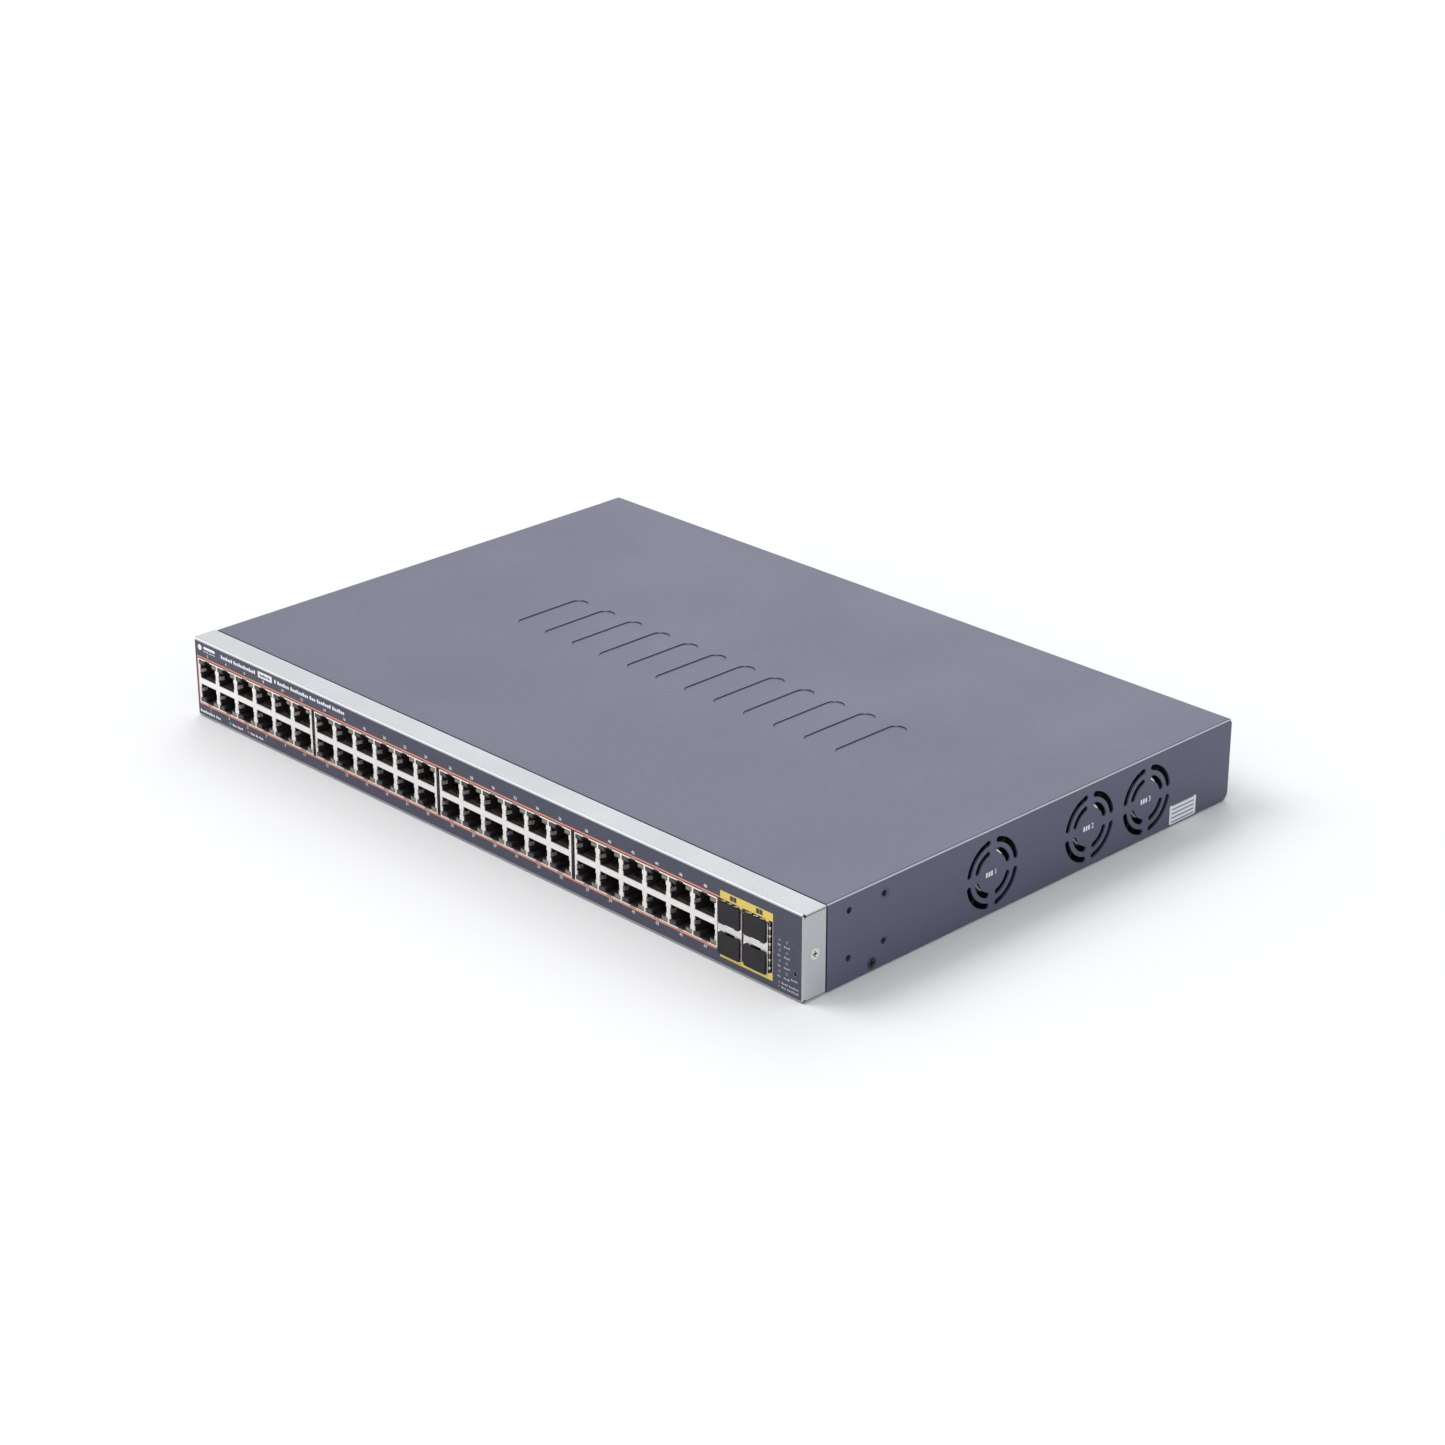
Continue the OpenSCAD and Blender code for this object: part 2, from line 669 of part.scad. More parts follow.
// Six moulded inserts, one for each column of two ports
module jack_inserts(b) {
    color([0.09, 0.085, 0.09]) for (c = [0:col_n - 1]) difference() {
        intersection() {
            block_envelope(b, shield_t, board_top);
            translate([port_x(b, c), 0, 0])
                box([-insert_w / 2, jack_y0, 0], [insert_w / 2, jack_y0 + jack_d, case_h]);
        }
        both_rows() port_hollow(port_x(b, c));
    }
}

// One bent contact spring of an upper port, with its middle at x
module contact(x) {
    y = jack_y0 + 2;
    z = plug_low;
    under = z + contact_rise - contact_t;
    along_x(x - 0.17, x + 0.17) polygon([
        [y, z], [y + 1.2, z], [y + 9, under], [y + 11.8, under], [y + 11.8, z + contact_rise],
        [y + 8.9, z + contact_rise], [y + 1.1, z + contact_t], [y, z + contact_t]
    ]);
}

module jack_contacts(b) {
    color([0.80, 0.62, 0.25]) for (c = [0:col_n - 1], k = [0:7])
        both_rows() contact(port_x(b, c) + (k - 3.5) * contact_pitch);
}

// Lenses on one side of every port
module jack_lenses(side) {
    for (b = [0:block_n - 1], c = [0:col_n - 1]) both_rows()
        lens_box(port_x(b, c) + side * lens_x, jack_y0 + 0.1, jack_y0 + 9, 0);
}

// ---------- fibre bays ----------

// Two stamped cages side by side, each holding an upper and a lower bay
module sfp_cages() {
    y1 = cage_y0 + cage_d;
    color([0.78, 0.78, 0.77]) for (c = [0, 1]) translate([bay_x(c), 0, 0]) difference() {
        union() {
            box([-bay_w / 2 - cage_wall, cage_y0, cage_low], [bay_w / 2 + fold_wall, y1, cage_high]);
            // legs to the board
            for (y = [12, 28, 44])
                box([-2, cage_y0 + y, board_top], [2, cage_y0 + y + 1, cage_low + cage_wall / 2]);
        }
        for (z = bay_rows)
            box([-bay_w / 2, cage_y0 - 1, z - bay_h / 2], [bay_w / 2, y1 - cage_wall, z + bay_h / 2]);
        for (z = groove_z)
            box([-bay_w / 2 - 1, cage_y0 - 1, z - 0.12], [bay_w / 2 + 0.1, cage_y0 + 0.6, z + 0.12]);
        // latch slot over the lower bay
        box([-2.5, cage_y0 - 1, bay_rows[0]], [3.5, cage_y0 + 4, groove_z[0] - 0.3]);
    }
}

// Side view of one spring finger: a bow that rises by rise, starting at y
module spring_finger(y, rise) {
    polygon([
        [y, 0], [y + 0.35, 0.75 * rise], [y + 0.9, rise], [y + 5, 0],
        [y + 4.6, 0], [y + 0.9, rise - strip_t], [y + 0.5, 0.7 * rise - strip_t / 2], [y + 0.2, 0]
    ]);
}

// Stamped strip round the cages that earths them to the bezel
module sfp_spring_strip() {
    y0 = cage_y0 + 1.3;
    y1 = cage_y0 + 7;
    z0 = cage_low - strip_t;
    z1 = cage_high + strip_t;
    x0 = bay_x(0) - bay_w / 2 - cage_wall;
    x1 = cage_right(1) + strip_t;
    color([0.82, 0.78, 0.62]) union() {
        box([x0, y0, cage_high], [x1, y1, z1]);
        box([cage_right(1), y0, z0], [x1, y1, z1]);
        box([x0, y0, z0], [x1, y1, cage_low]);
        for (c = [0, 1], i = [-1:1]) {
            x = bay_x(c) + i * finger_pitch;
            translate([x, 0, z1 - e]) along_x(-finger_w / 2, finger_w / 2) spring_finger(cage_y0 + 0.5, 1.1);
            translate([x, 0, z0 + e]) mirror([0, 0, 1])
                along_x(-finger_w / 2, finger_w / 2) spring_finger(cage_y0 + 1.5, 0.3);
        }
        for (i = [0:5]) translate([x1 - e, 0, bay_rows[0] - 2 + i * finger_pitch]) rotate([0, 90, 0])
            along_x(-finger_w / 2 + 0.2, finger_w / 2 - 0.2) spring_finger(cage_y0 + 0.5, 0.9);
    }
}

// Edge connectors at the back of the bays
module sfp_connectors() {
    y1 = cage_y0 + cage_d - cage_wall;
    color([0.1, 0.1, 0.11]) for (c = [0, 1], z = bay_rows) difference() {
        box([bay_x(c) - 5.6, y1 - 7, z - 3.2], [bay_x(c) + 5.6, y1, z + 3.2]);
        box([bay_x(c) - 4.6, y1 - 8, z - 0.6], [bay_x(c) + 4.6, y1 - 1.5, z + 0.6]);
    }
}

// Rubber dust plug. flip is 1 for the lower row, whose finger notch is on top
module dust_plug(c, row, flip) {
    top = plug_face[1] / 2;
    color([0.07, 0.068, 0.072]) translate([bay_x(c), 0, bay_rows[row]]) mirror([0, 0, 1 - flip])
    difference() {
        union() {
            along_y(plug_back - plug_out, plug_back) round_rect(plug_face[0], plug_face[1], 0.8);
            along_y(plug_back - e, plug_back + 10.5) square(plug_body, center = true);
            for (y = [3, 6.5]) along_y(plug_back + y, plug_back + y + 0.9)
                square([bay_w - 0.25, bay_h - 0.25], center = true);
        }
        // shallow finger notch
        box([-2.4, plug_back - plug_out - 1, top - 0.35], [3.6, plug_back + e, top + 1]);
        // hollow back
        box([-4.8, plug_back + 1.5, -2.6], [4.8, plug_back + 11, 2.6]);
    }
}

// ---------- status lights and reset ----------

module status_light_pipes() {
    y = bezel_y + bezel_t;
    color([0.75, 0.78, 0.8]) union() {
        for (x = led_x, z = led_z) rod_y(-hd + 0.02, y + 6, led_r, x, z);
        box([led_x[0] - 1.6, y + 5, board_top + 1.2], [led_x[1] + 1.6, y + 7, led_z[3] + 1.6]);
        for (x = led_x) box([x - 1.2, y + 5, board_top], [x + 1.2, y + 9, board_top + 3]);
    }
}

module reset_switch() {
    color([0.15, 0.15, 0.16]) difference() {
        box([reset_x - 1.9, bezel_y + 4.2, board_top], [reset_x + 1.9, bezel_y + 8.5, reset_z + 2.6]);
        rod_y(bezel_y + 4, button_seat, button_r + 0.06, reset_x, reset_z);
    }
}

module reset_button() {
    color([0.1, 0.1, 0.1])
        rod_y(bezel_y + 1.5, button_seat - button_travel - 0.1, button_r, reset_x, reset_z);
}

// ---------- fans ----------

// Puts a fan drawn round the x axis in its place; x = 0 is the fan's inner face
module fan_place(i) {
    translate([fan_x0, fan_y[i], fan_z]) children();
}

module fan_frame(i) {
    color([0.1, 0.1, 0.105]) fan_place(i) difference() {
        union() {
            difference() {
                box([0, -fan_side / 2, -fan_side / 2], [fan_t, fan_side / 2, fan_side / 2]);
                rod_x(-1, fan_t + 1, fan_bore, 0, 0);
                // the waist between the two corner flanges
                for (a = [0:90:270]) rotate([a, 0, 0])
                    box([4, fan_side / 2 - 3, fan_side / 2 - 8], [fan_t - 4, fan_side, fan_side]);
            }
            // struts and motor base
            for (a = [45:90:315]) rotate([a, 0, 0]) box([0, -0.9, 0], [1.6, 0.9, fan_bore + 0.6]);
            rod_x(0, 1.6, hub_r - 0.6, 0, 0);
            rod_x(0, 13, tube_out, 0, 0);
        }
        rod_x(1.0, 14, tube_in, 0, 0);
        for (y = [-1, 1], z = [-1, 1]) rod_x(-1, fan_t + 1, screw_hole_r, y * fan_hole, z * fan_hole);
    }
}

// One cambered blade round a radial line, its middle at x; it runs past the hub and the tip
module blade(x) {
    translate([x, 0, 7]) rotate([0, 0, -62 - blade_arc / 2]) translate([-blade_r, 0, 0])
        rotate_extrude(angle = blade_arc) translate([blade_r, 0]) square([1, 13]);
}

// Rotor: a cup with cambered blades and its shaft
module fan_rotor(i) {
    x1 = fan_t - 2.2;
    color([0.13, 0.13, 0.135]) fan_place(i) union() {
        difference() {
            rod_x(3, x1, hub_r, 0, 0);
            rod_x(2, x1 - 1.4, cup_r, 0, 0);
        }
        rod_x(1.6, x1 - 1, shaft_r, 0, 0);
        intersection() {
            difference() {
                rod_x(4.2, x1 - 1.2, tip_r, 0, 0);
                rod_x(3, x1, hub_r - 0.5, 0, 0);
            }
            for (k = [0:blade_n - 1]) rotate([k * 360 / blade_n, 0, 0]) blade((3 + x1) / 2);
        }
    }
}

module fan_stators() {
    color([0.55, 0.3, 0.16]) for (i = [0:2]) fan_place(i) difference() {
        rod_x(3.6, 12, stator_r, 0, 0);
        rod_x(3, 13, tube_out + 0.05, 0, 0);
        for (a = [0:90:270]) rotate([a, 0, 0]) box([3, -0.8, 4.6], [13, 0.8, stator_r + 1]);
    }
}

module fan_bearings() {
    color([0.7, 0.7, 0.72]) for (i = [0:2], x = [1.2, 9.8]) fan_place(i) difference() {
        rod_x(x, x + 3, bearing_r, 0, 0);
        rod_x(x - 1, x + 4, shaft_r + 0.05, 0, 0);
    }
}

module fan_screws() {
    color([0.7, 0.7, 0.72]) for (y = fan_y, sy = [-1, 1], sz = [-1, 1])
        face_x(1, y + sy * fan_hole, fan_z + sz * fan_hole, wall_x) flat_screw(9, fan_head_r, fan_head_h);
}

// A round lead through a list of points
module lead(points, r) {
    for (i = [0:len(points) - 2]) {
        d = points[i + 1] - points[i];
        turn = [0, acos(d[2] / norm(d)), atan2(d[1], d[0])];
        translate(points[i]) rotate(turn) cylinder(h = norm(d), r = r, $fn = 24);
    }
    for (i = [1:len(points) - 2]) translate(points[i]) sphere(r, $fn = 24);
}

module fan_leads() {
    color([0.6, 0.12, 0.1]) for (i = [0:2]) lead([
        [fan_x0 - 0.1, fan_y[i] - 14, 10],
        [fan_x0 - 3 - 2.5 * i, fan_y[i] - 14, 10],
        [fan_x0 - 3 - 2.5 * i, fan_y[i] - 14, 22],
        [fan_x0 - 3 - 2.5 * i, fan_plugs[i][1], 22],
        [fan_plugs[i][0], fan_plugs[i][1], 22],
        [fan_plugs[i][0], fan_plugs[i][1], board_top + 7]
    ], 0.9);
}

// ---------- main board ----------

module main_board() {
    color([0.05, 0.30, 0.18]) difference() {
        union() {
            box([board_x0, board_y0, board_z], [board_x1, board_step_y, board_top]);
            box([board_x0, board_step_y - 1, board_z], [board_narrow_x, board_y1, board_top]);
        }
        for (p = board_holes) translate([p[0], p[1], board_z - 1]) cylinder(h = 4, r = screw_hole_r);
    }
}

module standoff(x, y, top) {
    translate([x, y, floor_top]) difference() {
        cylinder(h = top - floor_top, r = standoff_r);
        translate([0, 0, 0.6]) cylinder(h = 10, r = screw_hole_r);
    }
}

module board_standoffs() {
    color([0.75, 0.75, 0.76]) {
        for (p = board_holes) standoff(p[0], p[1], board_z);
        for (p = psu_holes) standoff(p[0], p[1], psu_z);
    }
}

module board_screws() {
    color([0.75, 0.75, 0.76]) {
        for (p = board_holes) translate([p[0], p[1], board_top]) pan_screw(4);
        for (p = psu_holes) translate([p[0], p[1], psu_top]) pan_screw(4);
    }
}

module switch_chips() {
    color([0.12, 0.12, 0.13]) {
        for (p = asics) chip(p, asic_w, asic_t);
        for (p = phys) chip(p, phy_w, phy_t);
    }
}

// A flat chip package on the main board, its middle at p
module chip(p, w, t) {
    translate([p[0] - w / 2, p[1] - w / 2, board_top]) cube([w, w, t]);
}

// Extruded heatsink with upright fins along y
module finned_sink(w, d, h, fins) {
    translate([-w / 2, -d / 2, 0]) {
        cube([w, d, fin_base]);
        for (i = [0:fins - 1]) translate([i * (w - fin_t) / (fins - 1), 0, 0]) cube([fin_t, d, h]);
    }
}

module chip_heatsinks() {
    color([0.62, 0.63, 0.65]) {
        for (p = asics) translate([p[0], p[1], board_top + asic_t]) finned_sink(44, 40, 20, 10);
        for (p = phys) translate([p[0], p[1], board_top + phy_t]) finned_sink(24, 24, 12, 7);
    }
}

module port_power_chips() {
    color([0.1, 0.1, 0.11]) for (x = power_chip_x, dx = [0, 38]) chip([x + dx, power_chip_y], 9, 1.2);
}

// Upright capacitor can
module can(x, y, z, r, h) {
    translate([x, y, z]) cylinder(h = h, r = r);
}

module board_capacitors() {
    color([0.15, 0.17, 0.3]) {
        for (i = [0:7]) can(-170 + i * 13, -6, board_top, 5, 14);
        for (i = [0:5]) can(90 + i * 12, -4, board_top, 4, 11);
    }
}

module board_connectors() {
    color([0.9, 0.89, 0.84]) {
        for (p = fan_plugs) translate([p[0] - 4, p[1] - 3, board_top]) cube([8, 6, 7]);
        translate([supply_plug[0] - 4, supply_plug[1] - 4.5, board_top]) cube([34, 9, supply_plug_h]);
    }
}

// ---------- power supply ----------

module psu_board() {
    color([0.55, 0.42, 0.2]) difference() {
        box([psu_x0, psu_y0, psu_z], [psu_x1, psu_y1, psu_top]);
        for (p = psu_holes) translate([p[0], p[1], psu_z - 1]) cylinder(h = 4, r = screw_hole_r);
    }
}

// Ferrite core with its winding, which stands out at both ends
module transformer(x, y, w, d, h) {
    limb = 6;
    turn = limb + 0.2;
    translate([x, y, psu_top]) {
        difference() {
            translate([-w / 2, -d / 2, 0]) cube([w, d, h]);
            translate([-w / 2 + limb, -d / 2 - 1, limb]) cube([w - 2 * limb, d + 2, h - 2 * limb]);
        }
        translate([-w / 2 + turn, -d / 2 - 3, turn]) cube([w - 2 * turn, d + 6, h - 2 * turn]);
    }
}

module psu_transformers() {
    color([0.25, 0.24, 0.23]) {
        transformer(20, 92, 40, 30, 28);
        transformer(70, 92, 34, 28, 26);
    }
}

module psu_capacitors() {
    color([0.12, 0.13, 0.2]) {
        for (y = [52, 80]) can(118, y, psu_top, 12, 31);
        for (i = [0:4]) can(-20, 52 + i * 15, psu_top, 6, 22);
    }
}

module psu_heatsinks() {
    color([0.68, 0.69, 0.7]) for (y = [46, 64]) union() {
        translate([5, y, psu_top]) cube([90, 3, 28]);
        for (i = [0:8]) translate([5 + i * 11, y, psu_top + 18]) cube([1.5, 9, 10]);
    }
}

module choke(x, y) {
    translate([x, y, psu_top]) rotate_extrude() translate([7.5, 0]) square([6, 13]);
}

module psu_chokes() {
    color([0.7, 0.35, 0.15]) {
        choke(165, 60);
        choke(165, 92);
        choke(100, 112);
    }
}

// Recessed mains inlet with a screw flange
module power_inlet() {
    y1 = rear_y + 2;
    y0 = rear_y - 21;
    color([0.08, 0.08, 0.085]) translate([inlet[0], 0, inlet[1]]) difference() {
        union() {
            along_y(rear_y, y1) round_rect(49, 23, 5);
            along_y(y0, rear_y + e) square(inlet_body, center = true);
        }
        difference() {
            along_y(y1 - 17, y1 + 1) square(inlet_cavity, center = true);
            // two chamfered upper corners key the plug
            for (s = [0, 1]) mirror([s, 0, 0]) along_y(y1 - 18, y1 + 2)
                polygon([[7.6, 8.4], [12.4, 3.6], [14, 3.6], [14, 10], [7.6, 10]]);
        }
        for (s = [-1, 1]) rod_y(rear_y - 1, y1 + 1, screw_hole_r, s * inlet_screw_dx, 0);
        for (p = pins) translate([p[0], 0, p[1]])
            along_y(y0 - 1, y1 - 16) square(2 * [pin[0] + pin_slip, pin[1] + pin_slip], center = true);
    }
}

module inlet_pins() {
    color([0.8, 0.79, 0.76]) translate([inlet[0], 0, inlet[1]]) for (p = pins)
        box([p[0] - pin[0], pin_back, p[1] - pin[1]], [p[0] + pin[0], rear_y, p[1] + pin[1]]);
}

// Mains leads from the inlet and supply leads to the main board
module power_harness() {
    color([0.12, 0.12, 0.12]) {
        for (p = pins) {
            x = inlet[0] + p[0];
            z = inlet[1] + p[1];
            y = pin_back - 5 - p[1];
            lead([[x, pin_back - 0.1, z], [x, y, z], [x, y, psu_top + 0.1]], 1.4);
        }
        for (i = [0:5]) {
            x = supply_plug[0] + i * 5;
            z = 24 + i % 2;
            foot = board_top + supply_plug_h + 0.1;
            y0 = supply_plug[1];
            y1 = psu_y0 + 4;
            lead([[x, y1, psu_top + 0.1], [x, y1, z], [x, y0, z], [x, y0, foot]], 1.1);
        }
    }
}

// ---------- the parts, one node at a time ----------

base_tray();
top_cover();
front_bezel();
front_film();
side_label();
cover_side_screws();
bezel_screws();
rear_screws();
jack_shield(0);  // jack_shield_1
jack_shield(1);  // jack_shield_2
jack_shield(2);  // jack_shield_3
jack_shield(3);  // jack_shield_4
jack_inserts(0);  // jack_inserts_1
jack_inserts(1);  // jack_inserts_2
jack_inserts(2);  // jack_inserts_3
jack_inserts(3);  // jack_inserts_4
jack_contacts(0);  // jack_contacts_1
jack_contacts(1);  // jack_contacts_2
jack_contacts(2);  // jack_contacts_3
jack_contacts(3);  // jack_contacts_4
color([0.2, 0.35, 0.22]) jack_lenses(-1);  // jack_lenses_green
color([0.5, 0.38, 0.15]) jack_lenses(1);  // jack_lenses_amber
sfp_cages();
sfp_spring_strip();
sfp_connectors();
dust_plug(0, 1, 0);  // dust_plug_1
dust_plug(0, 0, 1);  // dust_plug_2
dust_plug(1, 1, 0);  // dust_plug_3
dust_plug(1, 0, 1);  // dust_plug_4
status_light_pipes();
reset_switch();
reset_button();
fan_frame(0);  // fan_frame_1
fan_frame(1);  // fan_frame_2
fan_frame(2);  // fan_frame_3
fan_rotor(0);  // fan_rotor_1
fan_rotor(1);  // fan_rotor_2
fan_rotor(2);  // fan_rotor_3
fan_stators();
fan_bearings();
fan_screws();
fan_leads();
main_board();
board_standoffs();
board_screws();
switch_chips();
chip_heatsinks();
port_power_chips();
board_capacitors();
board_connectors();
psu_board();
psu_transformers();
psu_capacitors();
psu_heatsinks();
psu_chokes();
power_inlet();
inlet_pins();
power_harness();
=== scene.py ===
"""Looks for the rackmount switch, built round its CAD frame. Metres, +Z up, ports towards -Y."""

import json
import math

import bmesh
import bpy
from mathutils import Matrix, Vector


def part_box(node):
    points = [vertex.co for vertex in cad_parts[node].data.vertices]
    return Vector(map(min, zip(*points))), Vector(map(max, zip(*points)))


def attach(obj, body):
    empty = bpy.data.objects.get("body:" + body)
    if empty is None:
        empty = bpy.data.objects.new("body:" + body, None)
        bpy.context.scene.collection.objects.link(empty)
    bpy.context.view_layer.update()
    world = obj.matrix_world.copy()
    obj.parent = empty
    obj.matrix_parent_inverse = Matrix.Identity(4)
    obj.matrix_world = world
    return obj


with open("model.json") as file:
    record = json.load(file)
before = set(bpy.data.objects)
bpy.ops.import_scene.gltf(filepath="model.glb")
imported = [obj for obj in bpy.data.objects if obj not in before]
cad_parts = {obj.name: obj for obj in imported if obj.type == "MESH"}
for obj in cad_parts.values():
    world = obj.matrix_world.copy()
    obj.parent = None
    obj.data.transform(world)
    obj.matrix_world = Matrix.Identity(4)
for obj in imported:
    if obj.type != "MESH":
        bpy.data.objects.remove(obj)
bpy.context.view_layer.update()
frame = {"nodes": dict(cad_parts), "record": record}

MM = 0.001
LIFT = 0.03 * MM  # how far print stands off its surface

FRONT_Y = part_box("front_film")[0][1]
SIDE_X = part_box("top_cover")[1][0]
LID_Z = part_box("top_cover")[1][2]

JACK_BLOCKS = range(1, 5)
FANS = range(1, 4)
COLUMNS = 6  # of ports in each jack block
BLOCK_ENDS = 15.85 * MM  # a jack block's width less the pitches between its columns
PORT_FOOT = 8.4 * MM  # lower edge of the jack blocks in their window
FRAME_EDGES = (0.3 * MM, 0.6 * MM, 0.95 * MM, 1.25 * MM)  # of the line round the ports, going outwards
BAY_TOP = 33.7 * MM  # upper and lower edges of the fibre bays' window
BAY_FOOT = 5.9 * MM
FOOTER_Z = 3.5 * MM  # middle of the words under the first ports
LIGHT_PITCH = 5.15 * MM  # between rows of status lights
LEGEND_Z = 5.9 * MM  # middle of the legend's first line, and the step down to its second
LEGEND_STEP = 2.1 * MM


# ---------- shader helpers ----------

def material(name, colour, roughness, metallic=0.0, **sockets):
    """A Principled material with its even values set on the shader itself."""
    mat = bpy.data.materials.new(name)
    mat.use_nodes = True
    shader = mat.node_tree.nodes["Principled BSDF"]
    shader.inputs["Base Color"].default_value = (*colour, 1)
    shader.inputs["Roughness"].default_value = roughness
    shader.inputs["Metallic"].default_value = metallic
    for key, value in sockets.items():
        shader.inputs[key.replace("_", " ")].default_value = value
    return mat, shader


def node(mat, kind, **inputs):
    """A new node of that kind; inputs are set by their names, with _ for a space."""
    made = mat.node_tree.nodes.new(kind)
    for key, value in inputs.items():
        made.inputs[key.replace("_", " ")].default_value = value
    return made


def link(mat, source, target):
    """Joins a node's output to another's input."""
    mat.node_tree.links.new(source, target)


def place(mat, stretch=(1, 1, 1)):
    """The piece's own coordinates, stretched."""
    coord = node(mat, "ShaderNodeTexCoord")
    mapping = node(mat, "ShaderNodeMapping", Scale=stretch)
    link(mat, coord.outputs["Object"], mapping.inputs["Vector"])
    return mapping.outputs["Vector"]


def noise(mat, size, detail=2.0, stretch=(1, 1, 1)):
    """Noise whose grains are about size metres across, from 0 to 1."""
    made = node(mat, "ShaderNodeTexNoise", Scale=1 / size, Detail=detail)
    link(mat, place(mat, stretch), made.inputs["Vector"])
    return made.outputs["Fac"]


def cells(mat, size):
    """Random grey cells about size metres across."""
    made = node(mat, "ShaderNodeTexVoronoi", Scale=1 / size)
    link(mat, place(mat), made.inputs["Vector"])
    return made.outputs["Color"]


def spread(mat, value, low, high, start=0.3, end=0.7):
    """Maps a value that runs from start to end onto low to high."""
    made = node(mat, "ShaderNodeMapRange", From_Min=start, From_Max=end, To_Min=low, To_Max=high)
    link(mat, value, made.inputs["Value"])
    return made.outputs["Result"]


def math_of(mat, operation, first, second):
    """A maths node over two values; the second may be a plain number."""
    made = mat.node_tree.nodes.new("ShaderNodeMath")
    made.operation = operation
    link(mat, first, made.inputs[0])
    if isinstance(second, float):
        made.inputs[1].default_value = second
    else:
        link(mat, second, made.inputs[1])
    return made.outputs[0]


def axes(mat, vector):
    """The three values of a vector."""
    split = node(mat, "ShaderNodeSeparateXYZ")
    link(mat, vector, split.inputs["Vector"])
    return [split.outputs[axis] for axis in "XYZ"]


def tint(mat, shader, value, low, high):
    """Colours the shader from low at 0 to high at 1; None stands for its colour so far."""
    mix = mat.node_tree.nodes.new("ShaderNodeMix")
    mix.data_type = "RGBA"
    target = shader.inputs["Base Color"]
    ends = [socket for socket in mix.inputs if socket.type == "RGBA"]
    for end, colour in zip(ends, (low, high)):
        if colour is None:
            link(mat, target.links[0].from_socket, end)
        else:
            end.default_value = (*colour, 1)
    link(mat, value, mix.inputs["Factor"])
    link(mat, [socket for socket in mix.outputs if socket.type == "RGBA"][0], target)


def bump(mat, shader, value, depth, strength):
    """Raises the surface by up to depth metres."""
    made = node(mat, "ShaderNodeBump", Strength=strength, Distance=depth)
    link(mat, value, made.inputs["Height"])
    link(mat, made.outputs["Normal"], shader.inputs["Normal"])


def crevice(mat, shader, reach, shadow):
    """Paints shade into grooves, recesses and seams up to reach metres deep."""
    closed, open_air = 0.35, 0.8  # share of free space deep in a groove and clear of it
    inside = node(mat, "ShaderNodeAmbientOcclusion", Distance=reach)
    tint(mat, shader, spread(mat, inside.outputs["AO"], 0, 1, closed, open_air), shadow, None)


def bright_folds(mat, shader, colour):
    """Paints a highlight along the case's upper bends, in place of the shine of light on them."""
    on_bend, on_face = 0.74, 0.9  # the largest part of the surface's normal
    strip, clear = 1.2 * MM, 1.6 * MM  # depth below the lid that is lightened, and where it has faded
    size = node(mat, "ShaderNodeVectorMath")
    size.operation = "ABSOLUTE"
    link(mat, node(mat, "ShaderNodeNewGeometry").outputs["Normal"], size.inputs[0])
    x, y, z = axes(mat, size.outputs["Vector"])
    largest = math_of(mat, "MAXIMUM", math_of(mat, "MAXIMUM", x, y), z)
    bent = spread(mat, largest, 1, 0, on_bend, on_face)
    height = axes(mat, place(mat))[2]
    high = spread(mat, height, 0, 1, LID_Z - clear, LID_Z - strip)
    tint(mat, shader, math_of(mat, "MULTIPLY", bent, high), None, colour)


def shade(colour, factor):
    """The colour made darker or lighter."""
    return tuple(min(1, c * factor) for c in colour)


# ---------- finishes ----------

def powder_coat(name, colour):
    """Fine textured paint: pinhead grain, with very faint handling marks."""
    mottle, marks, pinheads = 0.7 * MM, 60 * MM, 0.35 * MM
    mat, shader = material(name, colour, 0.5)
    tint(mat, shader, spread(mat, noise(mat, mottle, 3), 0, 1), shade(colour, 0.9), shade(colour, 1.1))
    link(mat, spread(mat, noise(mat, marks, 5), 0.45, 0.5), shader.inputs["Roughness"])
    bump(mat, shader, noise(mat, pinheads, 3), 0.02 * MM, 0.5)
    # Painted highlight along the upper bends.
    bright_folds(mat, shader, (0.62, 0.63, 0.67))
    # Painted shade in grooves, recesses and seams.
    crevice(mat, shader, 1.2 * MM, shade(colour, 0.1))
    return mat


def silver_paint(name, colour):
    """Satin paint with fine metal flake."""
    flake, marks, grain = 0.22 * MM, 25 * MM, 0.3 * MM
    mat, shader = material(name, colour, 0.45, 0.1)
    flakes = node(mat, "ShaderNodeRGBToBW")
    link(mat, cells(mat, flake), flakes.inputs["Color"])
    tint(mat, shader, flakes.outputs["Val"], shade(colour, 0.82), shade(colour, 1.16))
    link(mat, spread(mat, noise(mat, marks, 6), 0.36, 0.48), shader.inputs["Roughness"])
    bump(mat, shader, noise(mat, grain, 2), 0.006 * MM, 0.5)
    # Painted highlight along the upper bends.
    bright_folds(mat, shader, (0.86, 0.865, 0.88))
    # Painted shade in grooves, recesses and seams.
    crevice(mat, shader, 1 * MM, shade(colour, 0.1))
    return mat


def moulded(name, colour, roughness=0.5, grain=0.12 * MM, depth=0.006 * MM, **sockets):
    """Moulded plastic or rubber with a fine spark-eroded grain."""
    mottle, sheen = 3 * MM, 6 * MM
    mat, shader = material(name, colour, roughness, **sockets)
    tint(mat, shader, spread(mat, noise(mat, mottle, 5), 0, 1), shade(colour, 0.85), shade(colour, 1.15))
    uneven = spread(mat, noise(mat, sheen, 5), roughness - 0.07, roughness + 0.08)
    link(mat, uneven, shader.inputs["Roughness"])
    bump(mat, shader, noise(mat, grain, 2), depth, 0.6)
    return mat


